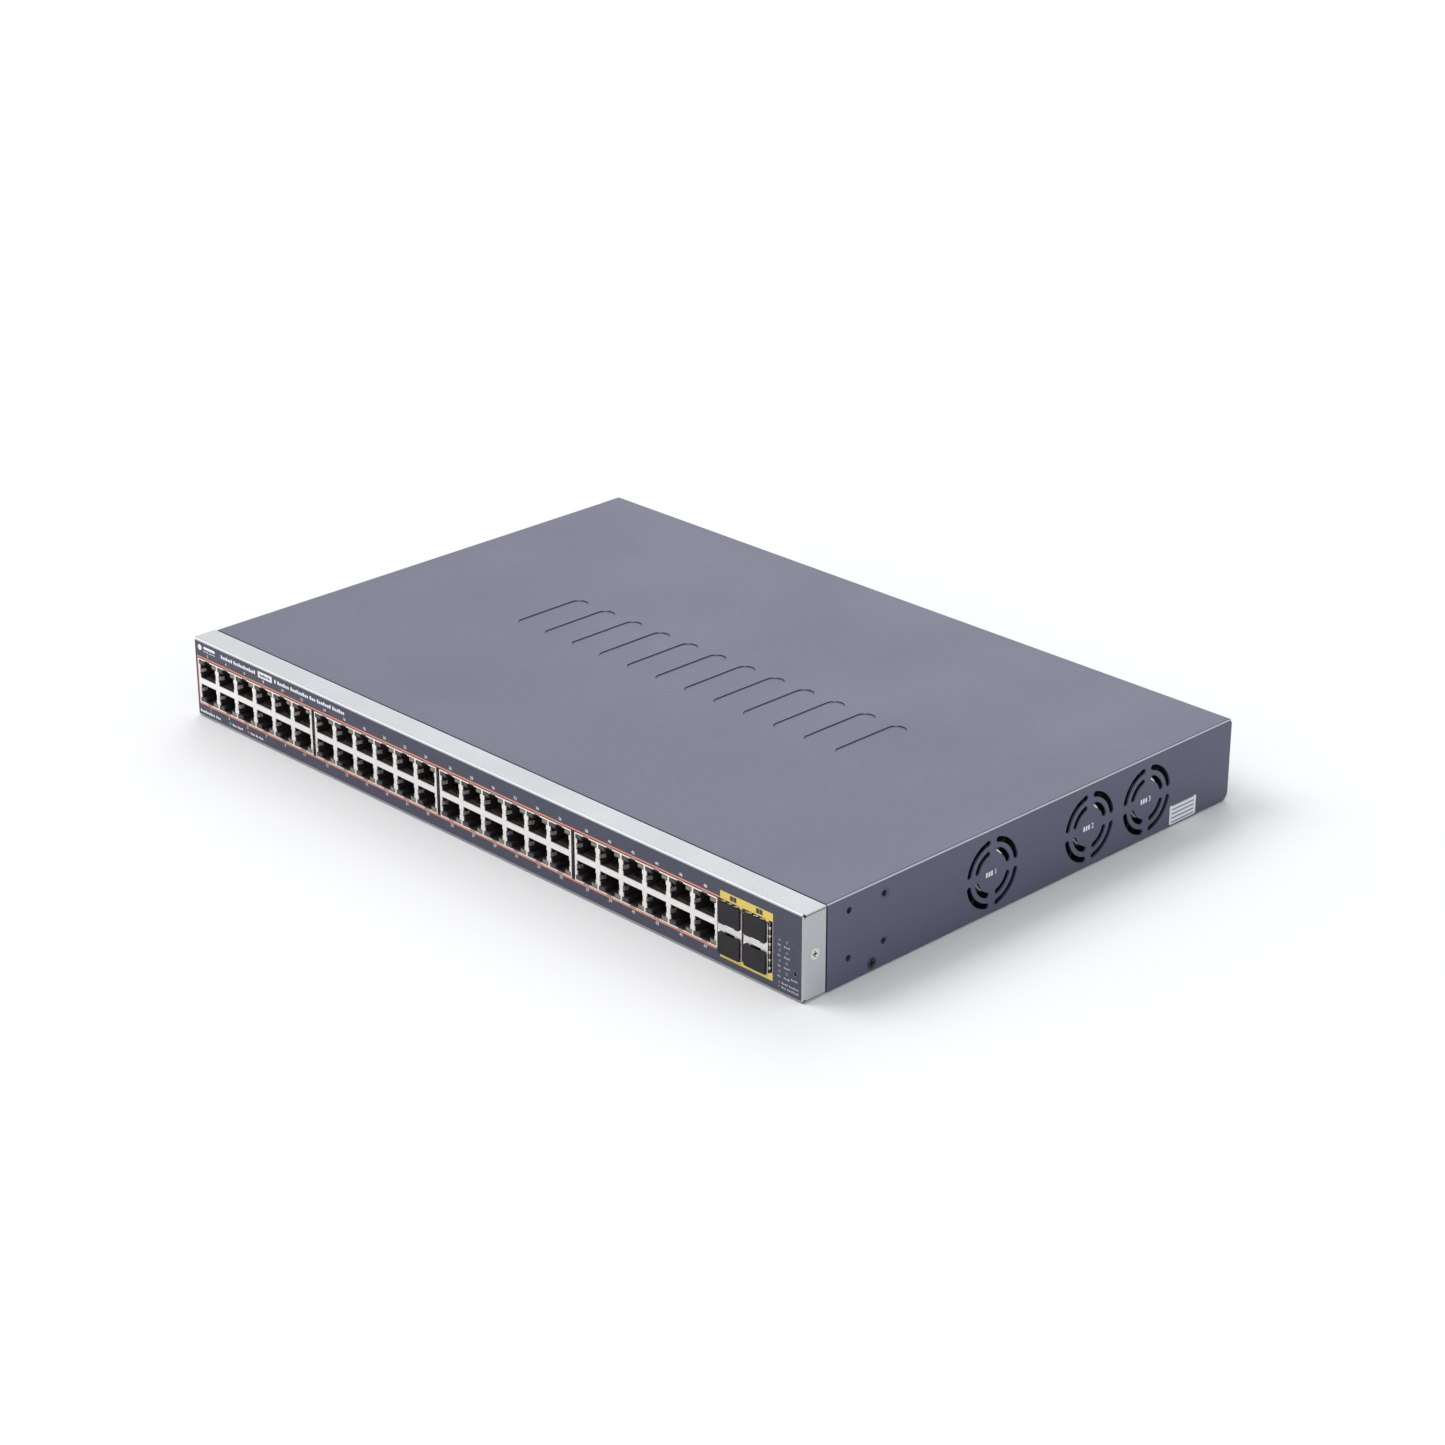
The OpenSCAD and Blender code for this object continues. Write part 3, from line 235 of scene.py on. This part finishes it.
def plated(name, colour, roughness=0.2):
    """Bright plating over stamped metal, with faint rolling streaks."""
    mottle, streak = 2 * MM, 0.4 * MM
    mat, shader = material(name, colour, roughness, 1.0)
    tint(mat, shader, spread(mat, noise(mat, mottle, 4), 0, 1), shade(colour, 0.96), shade(colour, 1.03))
    streaks = noise(mat, streak, 3, (0.06, 1, 1))
    link(mat, spread(mat, streaks, roughness * 0.85, roughness * 1.25), shader.inputs["Roughness"])
    bump(mat, shader, streaks, 0.001 * MM, 0.3)
    return mat


def drilled_head(name, colour, roughness):
    """Plating on a cross-head screw, with painted shade in its recess."""
    mat = plated(name, colour, roughness)
    # Painted shade in the cross recess.
    crevice(mat, mat.node_tree.nodes["Principled BSDF"], 1.2 * MM, shade(colour, 0.06))
    return mat


def lens(name, colour):
    """Clear coloured plastic, a little cloudy."""
    cloud, grain = 1.2 * MM, 0.4 * MM
    mat, shader = material(name, colour, 0.22, Coat_Weight=0.15, Coat_Roughness=0.08)
    tint(mat, shader, spread(mat, noise(mat, cloud, 4), 0, 1), shade(colour, 0.8), shade(colour, 1.2))
    bump(mat, shader, noise(mat, grain, 2), 0.006 * MM, 0.3)
    return mat


def circuit_board(name, colour):
    """Solder mask with copper tracks showing faintly through it."""
    spacing, squeeze = 9 * MM, (1, 2.3, 1)
    mat, shader = material(name, colour, 0.28, Coat_Weight=0.3)
    tracks = node(mat, "ShaderNodeTexBrick", Scale=1 / spacing, Mortar_Size=0.06)
    link(mat, place(mat, squeeze), tracks.inputs["Vector"])
    mask = spread(mat, tracks.outputs["Fac"], 0, 1, 0.4, 0.6)
    tint(mat, shader, mask, colour, shade(colour, 1.9))
    bump(mat, shader, tracks.outputs["Fac"], 0.03 * MM, 0.5)
    return mat


def winding(name, colour, pitch=1.2 * MM):
    """Enamelled wire laid in turns, one every pitch metres."""
    bands_per_metre = 3.15  # of the wave texture, at a scale of 1
    mat, shader = material(name, colour, 0.25, 0.6)
    turns = node(mat, "ShaderNodeTexWave", Scale=1 / (pitch * bands_per_metre), Distortion=0.4)
    link(mat, place(mat), turns.inputs["Vector"])
    # The tint runs dark to light across each turn: painted shade and light on the round wire.
    tint(mat, shader, turns.outputs["Fac"], shade(colour, 0.35), shade(colour, 1.2))
    bump(mat, shader, turns.outputs["Fac"], 0.15 * MM, 0.8)
    return mat


def extruded(name, colour):
    """Mill-finish aluminium with die lines."""
    mat, shader = material(name, colour, 0.35, 1.0)
    lines = noise(mat, 0.3 * MM, 4, (1, 0.02, 1))
    tint(mat, shader, spread(mat, lines, 0, 1), shade(colour, 0.85), shade(colour, 1.05))
    link(mat, spread(mat, lines, 0.28, 0.45), shader.inputs["Roughness"])
    bump(mat, shader, lines, 0.01 * MM, 0.4)
    return mat


def printed_ink(name, colour, roughness=0.5):
    """Screen-printed ink: a thin film with slightly uneven cover."""
    cover, grain = 0.5 * MM, 0.15 * MM
    mat, shader = material(name, colour, roughness)
    tint(mat, shader, spread(mat, noise(mat, cover, 3), 0, 1), shade(colour, 0.93), shade(colour, 1.03))
    bump(mat, shader, noise(mat, grain, 2), 0.004 * MM, 0.4)
    return mat


def label_paper(name, colour):
    """A pale sticker with plain grey lines in place of words."""
    rows = 4.6  # row heights in the label's height
    gap, line = 0.3, 0.34  # where a row's gap ends and its line starts, in row heights from its edge
    margin, soft = 1.5 * MM, 0.1 * MM
    grey = (0.22, 0.25, 0.3)
    mat, shader = material(name, colour, 0.45)
    (_, y0, z0), (_, y1, z1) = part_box("side_label")
    _, y, z = axes(mat, place(mat))
    row = math_of(mat, "MODULO", spread(mat, z, 0, rows, z0, z1), 1.0)
    in_line = spread(mat, math_of(mat, "PINGPONG", row, 0.5), 0, 1, gap, line)
    past_left = spread(mat, y, 0, 1, y0 + margin, y0 + margin + soft)
    before_right = spread(mat, y, 1, 0, y1 - margin - soft, y1 - margin)
    across = math_of(mat, "MULTIPLY", past_left, before_right)
    tint(mat, shader, math_of(mat, "MULTIPLY", in_line, across), colour, grey)
    bump(mat, shader, noise(mat, 0.4 * MM, 3), 0.004 * MM, 0.4)
    return mat


COVER = (0.082, 0.085, 0.142)
RUBBER = dict(roughness=0.7, grain=0.1 * MM, depth=0.01 * MM, Specular_IOR_Level=0.25)
FINISHES = {
    "tray_paint": lambda n: powder_coat(n, shade(COVER, 0.9)),
    "cover_paint": lambda n: powder_coat(n, COVER),
    "bezel_paint": lambda n: silver_paint(n, (0.485, 0.488, 0.508)),
    "film": lambda n: moulded(n, (0.045, 0.047, 0.083), 0.42, 0.2 * MM),
    "label_paper": lambda n: label_paper(n, (0.78, 0.82, 0.86)),
    "black_screw": lambda n: drilled_head(n, (0.07, 0.07, 0.075), 0.3),
    "nickel_screw": lambda n: drilled_head(n, (0.80, 0.79, 0.77), 0.22),
    "rear_screw": lambda n: plated(n, (0.06, 0.06, 0.065), 0.4),
    "jack_plating": lambda n: plated(n, (0.90, 0.885, 0.865), 0.3),
    "jack_plastic": lambda n: moulded(n, (0.026, 0.022, 0.025), 0.45),
    "gold_contacts": lambda n: plated(n, (0.88, 0.78, 0.58), 0.28),
    "green_lens": lambda n: lens(n, (0.030, 0.033, 0.030)),
    "amber_lens": lambda n: lens(n, (0.21, 0.18, 0.105)),
    "cage_plating": lambda n: plated(n, (0.92, 0.91, 0.895), 0.32),
    "spring_plating": lambda n: plated(n, (0.66, 0.64, 0.56), 0.2),
    "connector_plastic": lambda n: moulded(n, (0.02, 0.02, 0.022)),
    "plug_rubber": lambda n: moulded(n, (0.024, 0.022, 0.025), **RUBBER),
    "light_pipe": lambda n: lens(n, (0.15, 0.16, 0.19)),
    "switch_plastic": lambda n: moulded(n, (0.02, 0.02, 0.022)),
    # Blacker than the button's own plastic, so the reset hole reads dark: painted shade.
    "button_plastic": lambda n: moulded(n, (0.004, 0.004, 0.004)),
    "fan_plastic": lambda n: moulded(n, (0.030, 0.026, 0.029), 0.75, Specular_IOR_Level=0.15),
    "rotor_plastic": lambda n: moulded(n, (0.040, 0.034, 0.038), 0.35),
    "copper_winding": lambda n: winding(n, (0.75, 0.32, 0.14), 0.6 * MM),
    "bearing_steel": lambda n: plated(n, (0.62, 0.62, 0.63), 0.25),
    "fan_screw": lambda n: plated(n, (0.66, 0.66, 0.66), 0.3),
    "red_lead": lambda n: moulded(n, (0.42, 0.03, 0.025), 0.4),
    "board_green": lambda n: circuit_board(n, (0.012, 0.10, 0.045)),
    "standoff_metal": lambda n: plated(n, (0.62, 0.62, 0.62), 0.3),
    "board_screw": lambda n: plated(n, (0.66, 0.66, 0.66), 0.3),
    "chip_plastic": lambda n: moulded(n, (0.02, 0.02, 0.021), 0.55),
    "sink_aluminium": lambda n: extruded(n, (0.72, 0.73, 0.74)),
    "power_chip_plastic": lambda n: moulded(n, (0.02, 0.02, 0.021), 0.55),
    "small_can": lambda n: moulded(n, (0.03, 0.04, 0.12), 0.3),
    "cream_plastic": lambda n: moulded(n, (0.72, 0.68, 0.58), 0.4),
    "board_brown": lambda n: circuit_board(n, (0.26, 0.16, 0.05)),
    "ferrite": lambda n: moulded(n, (0.035, 0.033, 0.032), 0.6, 0.2 * MM, 0.02 * MM),
    "large_can": lambda n: moulded(n, (0.015, 0.018, 0.06), 0.3),
    "psu_sink": lambda n: extruded(n, (0.72, 0.73, 0.74)),
    "choke_winding": lambda n: winding(n, (0.72, 0.30, 0.10)),
    "inlet_plastic": lambda n: moulded(n, (0.018, 0.018, 0.019), 0.45),
    "pin_plating": lambda n: plated(n, (0.78, 0.76, 0.70), 0.22),
    "lead_black": lambda n: moulded(n, (0.02, 0.02, 0.02), 0.4),
}


def finish_frame():
    """Gives every CAD node the finish of its material slot."""
    made = {slot: build(slot) for slot, build in FINISHES.items()}
    for part in frame["record"]["subparts"]:
        data = frame["nodes"][part["node"]].data
        data.materials.clear()
        data.materials.append(made[part["material_slot"]])


# ---------- flat shapes ----------

def rect(u0, v0, u1, v1):
    """A rectangle's corners, anticlockwise."""
    return [(u0, v0), (u1, v0), (u1, v1), (u0, v1)]


def arc(u, v, r, start, turn, steps):
    """Points anticlockwise about u, v, from the start angle through the turn."""
    angles = [start + turn * i / steps for i in range(steps + 1)]
    return [(u + r * math.cos(a), v + r * math.sin(a)) for a in angles]


def bar(u0, v0, u1, v1, steps=4):
    """A level bar with round ends."""
    r = (v1 - v0) / 2
    right = arc(u1 - r, v0 + r, r, -math.pi / 2, math.pi, steps)
    left = arc(u0 + r, v0 + r, r, math.pi / 2, math.pi, steps)
    return right + left


def disc(u, v, r, steps=24):
    """A round dot."""
    return arc(u, v, r, 0, 2 * math.pi, steps)[:-1]


def shifted(u, v, points):
    """Points given in millimetres from u, v."""
    return [(u + x * MM, v + y * MM) for x, y in points]


def words(u0, u1, v, height, lengths):
    """A row of plain blocks from u0 to u1, in groups of these lengths."""
    space, block = 0.6, 0.74  # widths, in pitches
    low = 0.72  # a low block's share of the height
    pitch = (u1 - u0) / (sum(lengths) + space * (len(lengths) - 1))
    foot = v - height / 2
    loops, u = [], u0
    for length in lengths:
        for k in range(length):
            tall = height if k % 3 == 0 else height * low
            loops.append(rect(u, foot, u + pitch * block, foot + tall))
            u += pitch
        u += pitch * space
    return loops


def numeral(text, u, v, height):
    """Outlines of a plain numeral centred on u, v."""
    type_size, weight = 1.4, 0.015  # the type's size and added boldness, for a height of 1
    curve = bpy.data.curves.new("numeral", "FONT")
    curve.body = text
    curve.size = height * type_size
    curve.align_x = "CENTER"
    curve.align_y = "CENTER"
    curve.resolution_u = 2
    curve.offset = height * weight
    drawn = bpy.data.objects.new("numeral", curve)
    mesh = bpy.data.meshes.new_from_object(drawn)
    spots = [(u + vertex.co.x, v + vertex.co.y) for vertex in mesh.vertices]
    loops = [[spots[i] for i in face.vertices] for face in mesh.polygons]
    bpy.data.objects.remove(drawn)
    bpy.data.curves.remove(curve)
    bpy.data.meshes.remove(mesh)
    return loops


# ---------- print on the case ----------

def on_front(u, v, lift):
    """A point on the front: u across, v up."""
    return Vector((u, FRONT_Y - lift, v))


def on_side(u, v, lift):
    """A point on the fans' side: u towards the back, v up."""
    return Vector((SIDE_X + lift, u, v))


def port_columns():
    """Middle of every column of ports, left to right."""
    middles = []
    for block in JACK_BLOCKS:
        low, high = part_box(f"jack_shield_{block}")
        pitch = (high[0] - low[0] - BLOCK_ENDS) / (COLUMNS - 1)
        middle = (low[0] + high[0]) / 2
        middles += [middle + (c - (COLUMNS - 1) / 2) * pitch for c in range(COLUMNS)]
    return middles


def port_numbers():
    """Even numbers over the upper ports and odd ones under the lower ports."""
    above, below, height = 2.85 * MM, 2.45 * MM, 1.6 * MM
    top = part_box("jack_shield_1")[1][2]
    loops = []
    for i, x in enumerate(port_columns()):
        loops += numeral(str(2 * i + 2), x, top + above, height)
        loops += numeral(str(2 * i + 1), x, PORT_FOOT - below, height)
    return loops


def frame_line(inner, outer):
    """One line round the powered ports, open on the right, between two distances from them."""
    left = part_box("jack_shield_1")[0][0]
    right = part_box("jack_shield_4")[1][0]
    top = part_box("jack_shield_1")[1][2]
    upper_end, lower_end = right + 1.2 * MM, right - 0.8 * MM
    return [
        rect(left - outer, top + inner, upper_end, top + outer),
        rect(left - outer, PORT_FOOT - outer, lower_end, PORT_FOOT - inner),
        rect(left - outer, PORT_FOOT - inner, left - inner, top + inner),
    ]


def port_frame():
    """The coloured line round the powered ports: two edges with room for a paler core."""
    inner, core_start, core_end, outer = FRAME_EDGES
    return frame_line(inner, core_start) + frame_line(core_end, outer)


def port_frame_core():
    """The paler core between the line's two edges."""
    _, core_start, core_end, _ = FRAME_EDGES
    return frame_line(core_start, core_end)


def heading_start():
    """Left end and middle height of the heading."""
    low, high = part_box("front_film")
    return low[0] + 2.1 * MM, high[2] - 2.9 * MM


def heading():
    """Plain shapes where the front carries a mark and a line of words."""
    left, z = heading_start()
    mark = [disc(left + 2 * MM, z + 0.1 * MM, 1.6 * MM)]
    name = [bar(left + 5 * MM, z - 0.15 * MM, left + 15 * MM, z + 1.35 * MM)]
    under_name = words(left + 5 * MM, left + 15 * MM, z - 1.3 * MM, 0.6 * MM, [4, 5])
    first = words(left + 20 * MM, left + 49 * MM, z, 2 * MM, [7, 13])
    box = [rect(left + 51 * MM, z - 1.7 * MM, left + 62.5 * MM, z + 1.7 * MM)]
    last = words(left + 64.5 * MM, left + 121 * MM, z, 2 * MM, [1, 6, 9, 3, 7, 6])
    return mark + name + under_name + first + box + last


def heading_inset():
    """The dark blocks inside the heading's white box."""
    left, z = heading_start()
    return words(left + 52.5 * MM, left + 61 * MM, z, 1.5 * MM, [6, 2])


def footer_left():
    """Left end of the words under the first ports."""
    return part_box("front_film")[0][0] + 1.3 * MM


def footer():
    """Three runs of plain blocks under the first ports."""
    left = footer_left()
    first = words(left, left + 17.5 * MM, FOOTER_Z, 1.5 * MM, [9, 3])
    by_green = words(left + 27.4 * MM, left + 36.2 * MM, FOOTER_Z, 1.2 * MM, [3, 4])
    by_orange = words(left + 42.7 * MM, left + 53.4 * MM, FOOTER_Z, 1.2 * MM, [3, 2, 3])
    return first + by_green + by_orange


def footer_dot(offset):
    """A dot among the words under the first ports."""
    return [disc(footer_left() + offset, FOOTER_Z, 0.75 * MM)]


def bay_frame():
    """The coloured print above and below the fibre bays, out to the points of their window."""
    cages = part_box("sfp_cages")
    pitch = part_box("dust_plug_3")[0][0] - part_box("dust_plug_1")[0][0]
    left, right = cages[0][0] + 1.4 * MM, cages[1][0] + 3 * MM
    top_band, foot_band = 4.05 * MM, 1.3 * MM
    upper_point = cages[1][0] - 0.8 * MM
    lower_point = cages[1][0] - pitch + 0.5 * MM
    loops = [
        rect(left, BAY_TOP, right, BAY_TOP + top_band),
        rect(left, BAY_FOOT - foot_band, right, BAY_FOOT),
    ]
    for x in (upper_point - pitch, upper_point):
        loops.append(shifted(x, BAY_TOP, [(-1.45, 0), (0, -1.4), (1.45, 0)]))
    spike = [(-2.5, 0), (0.75, 0), (0.3, 1.05), (0, 1.65), (-0.3, 1.05)]
    corner = [(-4.8, 0), (0, 0), (0, 2.55), (-0.5, 2.55), (-2.85, 1.5), (-2.95, 1.1)]
    return loops + [shifted(lower_point, BAY_FOOT, spike), shifted(right, BAY_FOOT, corner)]


def bay_numbers():
    """Two pairs of small dark number plates on the print above the bays."""
    left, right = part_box("sfp_cages")[0][0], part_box("sfp_cages")[1][0]
    z = BAY_TOP + 2.15 * MM
    half_gap, half_pair, half_height = 0.1 * MM, 2 * MM, 1.2 * MM
    loops = []
    for x in (left + 9.6 * MM, right - 5.4 * MM):
        loops.append(rect(x - half_pair, z - half_height, x - half_gap, z + half_height))
        loops.append(rect(x + half_gap, z - half_height, x + half_pair, z + half_height))
    return loops


def status_marks():
    """Blocks under the status lights and the reset hole, and two lines of legend."""
    low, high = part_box("status_light_pipes")
    reach = 1.6 * MM  # from the lights' box to the middles of its outermost lights
    left, right, top = low[0] + reach, high[0] - reach, high[2] - reach
    rows, below, height, legend_height = 4, 2.35 * MM, 0.9 * MM, 1 * MM
    loops = []
    for i in range(rows):
        z = top - i * LIGHT_PITCH - below
        loops += words(left - 1 * MM, left + 1 * MM, z, height, [2])
        loops += words(right - 1.7 * MM, right + 2.1 * MM, z, height, [4])
    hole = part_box("reset_button")
    x, z = (hole[0][0] + hole[1][0]) / 2, hole[0][2] - 2.2 * MM
    loops += words(x - 2 * MM, x + 2.3 * MM, z, height, [5])
    start, end = left + 1.4 * MM, left + 12 * MM
    loops += words(start, end, LEGEND_Z, legend_height, [4, 6])
    loops += words(start, end, LEGEND_Z - LEGEND_STEP, legend_height, [3, 7])
    return loops


def legend_dot(row):
    """The dot before one of the legend's two lines."""
    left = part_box("status_light_pipes")[0][0] + 1.4 * MM
    return [disc(left, LEGEND_Z - row * LEGEND_STEP, 0.4 * MM)]


def fan_numbers():
    """Three blocks and a numeral in the middle of each grille."""
    first, pitch, width, half_height = -4.5 * MM, 1.75 * MM, 1.15 * MM, 1.25 * MM
    loops = []
    for i in FANS:
        low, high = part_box(f"fan_frame_{i}")
        y, z = (low[1] + high[1]) / 2, (low[2] + high[2]) / 2
        for k in range(3):
            left = y + first + k * pitch
            loops.append(rect(left, z - half_height, left + width, z + half_height))
        loops += numeral(str(i), y + 2.2 * MM, z, 2.7 * MM)
    return loops


# ---------- pieces ----------

def add_piece(name, build, skin, body):
    """Turns a built mesh into a named piece that rides on a body."""
    mesh = bpy.data.meshes.new(name)
    build.to_mesh(mesh)
    build.free()
    mesh.materials.append(skin)
    piece = bpy.data.objects.new(name, mesh)
    bpy.context.scene.collection.objects.link(piece)
    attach(piece, body)


def printed(name, loops, surface, ink, lift=LIFT):
    """One piece made of thin printed shapes."""
    build = bmesh.new()
    for loop in loops:
        if len(loop) > 2:
            build.faces.new([build.verts.new(surface(u, v, lift)) for u, v in loop])
    add_piece(name, build, ink, "case")


def add_print():
    """All the print on the front and on the fans' side."""
    white = printed_ink("ink_white", (0.84, 0.85, 0.88))
    grey = printed_ink("ink_grey", (0.42, 0.43, 0.47))
    bright = printed_ink("ink_bright", (0.85, 0.86, 0.88))
    red = printed_ink("ink_red", (0.62, 0.14, 0.065))
    peach = printed_ink("ink_peach", (0.82, 0.36, 0.24))
    yellow = printed_ink("ink_yellow", (0.76, 0.57, 0.105))
    dark = printed_ink("ink_dark", (0.04, 0.04, 0.05))
    green = printed_ink("ink_green", (0.10, 0.45, 0.24))
    orange = printed_ink("ink_orange", (0.75, 0.15, 0.06))
    printed("port_numbers", port_numbers(), on_front, white)
    printed("port_frame_line", port_frame(), on_front, red)
    printed("port_frame_core", port_frame_core(), on_front, peach)
    printed("heading_marks", heading(), on_front, bright)
    printed("heading_inset", heading_inset(), on_front, dark, LIFT * 2)
    printed("footer_marks", footer(), on_front, white)
    printed("footer_dot_green", footer_dot(25.4 * MM), on_front, green)
    printed("footer_dot_orange", footer_dot(40.7 * MM), on_front, orange)
    printed("bay_frame_print", bay_frame(), on_front, yellow, LIFT * 2)
    printed("bay_number_plates", bay_numbers(), on_front, dark, LIFT * 3)
    printed("status_marks", status_marks(), on_front, grey)
    printed("legend_dot_green", legend_dot(0), on_front, green)
    printed("legend_dot_orange", legend_dot(1), on_front, orange)
    printed("fan_numbers", fan_numbers(), on_side, bright)


def lathe(name, profile, middle, body, skin, steps=64):
    """A ring or disc turned round the x axis from (x, radius) points."""
    build = bmesh.new()
    angles = [2 * math.pi * i / steps for i in range(steps)]
    rings = []
    for x, r in profile:
        circle = [(x, middle[0] + r * math.cos(a), middle[1] + r * math.sin(a)) for a in angles]
        rings.append([build.verts.new(point) for point in circle])
    for near, far in zip(rings, rings[1:]):
        for i in range(steps):
            j = (i + 1) % steps
            build.faces.new((near[i], near[j], far[j], far[i])).smooth = True
    bmesh.ops.remove_doubles(build, verts=build.verts, dist=0.001 * MM)
    bmesh.ops.recalc_face_normals(build, faces=build.faces)
    add_piece(name, build, skin, body)


def hub_profiles(face):
    """The rim's and the sticker's (x, radius) points, outwards from the rotor's face."""
    outer, inner, height = 10.45 * MM, 8.9 * MM, 1.9 * MM
    edge, eased = 0.5 * MM, 0.15 * MM  # rounding of the rim's outer edge
    sunk = 0.3 * MM  # bevel of its inner edge, where the sticker starts
    sticker_up, sticker_in, centre = 0.05 * MM, 0.1 * MM, 0.01 * MM
    top = face + height
    rim = [
        (face, outer),
        (top - edge, outer),
        (top - eased, outer - eased),
        (top, outer - edge),
        (top, inner + sunk),
        (top - sunk, inner),
    ]
    sticker = [
        (top - sunk, inner),
        (top - sunk + sticker_up, inner - sticker_in),
        (top - sunk + sticker_up, centre),
    ]
    return rim, sticker


def add_hub_rims():
    """The bright steel rim and dark sticker that stand up from each rotor's face."""
    steel = plated("hub_rim_steel", (0.96, 0.955, 0.95), 0.4)
    dark = printed_ink("hub_sticker", (0.03, 0.03, 0.034), 0.35)
    for i in FANS:
        low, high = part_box(f"fan_rotor_{i}")
        middle = ((low[1] + high[1]) / 2, (low[2] + high[2]) / 2)
        rim, sticker = hub_profiles(high[0])
        lathe(f"hub_rim_{i}", rim, middle, f"rotor_{i}", steel)
        lathe(f"hub_sticker_{i}", sticker, middle, f"rotor_{i}", dark)


# ---------- stage ----------

def add_floor():
    """A plain pale floor just under the case."""
    bpy.ops.mesh.primitive_plane_add(size=40, location=(0, 0, -0.2 * MM))
    floor = bpy.context.object
    floor.name = "floor"
    mat, shader = material("floor_pale", (0.85, 0.85, 0.85), 0.8, Specular_IOR_Level=0.1)
    tint(mat, shader, spread(mat, noise(mat, 0.8, 2), 0, 1), (0.84, 0.84, 0.84), (0.86, 0.86, 0.86))
    floor.data.materials.append(mat)


def add_sun(name, toward, strength, angle):
    """A broad, soft light from that direction."""
    lamp = bpy.data.lights.new(name, "SUN")
    lamp.energy = strength
    lamp.angle = math.radians(angle)
    holder = bpy.data.objects.new(name, lamp)
    holder.rotation_euler = Vector(toward).to_track_quat("Z", "Y").to_euler()
    bpy.context.scene.collection.objects.link(holder)


def add_light():
    """A white room with a broad key from the front left and a weaker one from the back left."""
    world = bpy.data.worlds.new("studio")
    world.use_nodes = True
    world.node_tree.nodes["Background"].inputs["Color"].default_value = (0.97, 0.98, 1.0, 1)
    world.node_tree.nodes["Background"].inputs["Strength"].default_value = 0.8
    bpy.context.scene.world = world
    add_sun("key", (-0.62, -0.36, 0.8), 1.3, 36)
    add_sun("back", (-0.5, 0.6, 0.55), 0.6, 36)


def add_camera():
    """The photograph's viewpoint, solved from the case's edges."""
    downward, turned = 23.98, 45.52  # degrees below the horizon, and left of the +Y axis
    data = bpy.data.cameras.new("camera")
    data.lens = 84.14
    data.sensor_width = 36
    data.clip_start = 0.05
    data.clip_end = 100
    camera = bpy.data.objects.new("camera", data)
    camera.location = (1.12088, -1.08374, 0.71181)
    camera.rotation_euler = (math.radians(90 - downward), 0, math.radians(turned))
    bpy.context.scene.collection.objects.link(camera)
    bpy.context.scene.camera = camera


finish_frame()
add_print()
add_hub_rims()
add_floor()
add_light()
add_camera()
bpy.context.scene.view_settings.view_transform = "Standard"
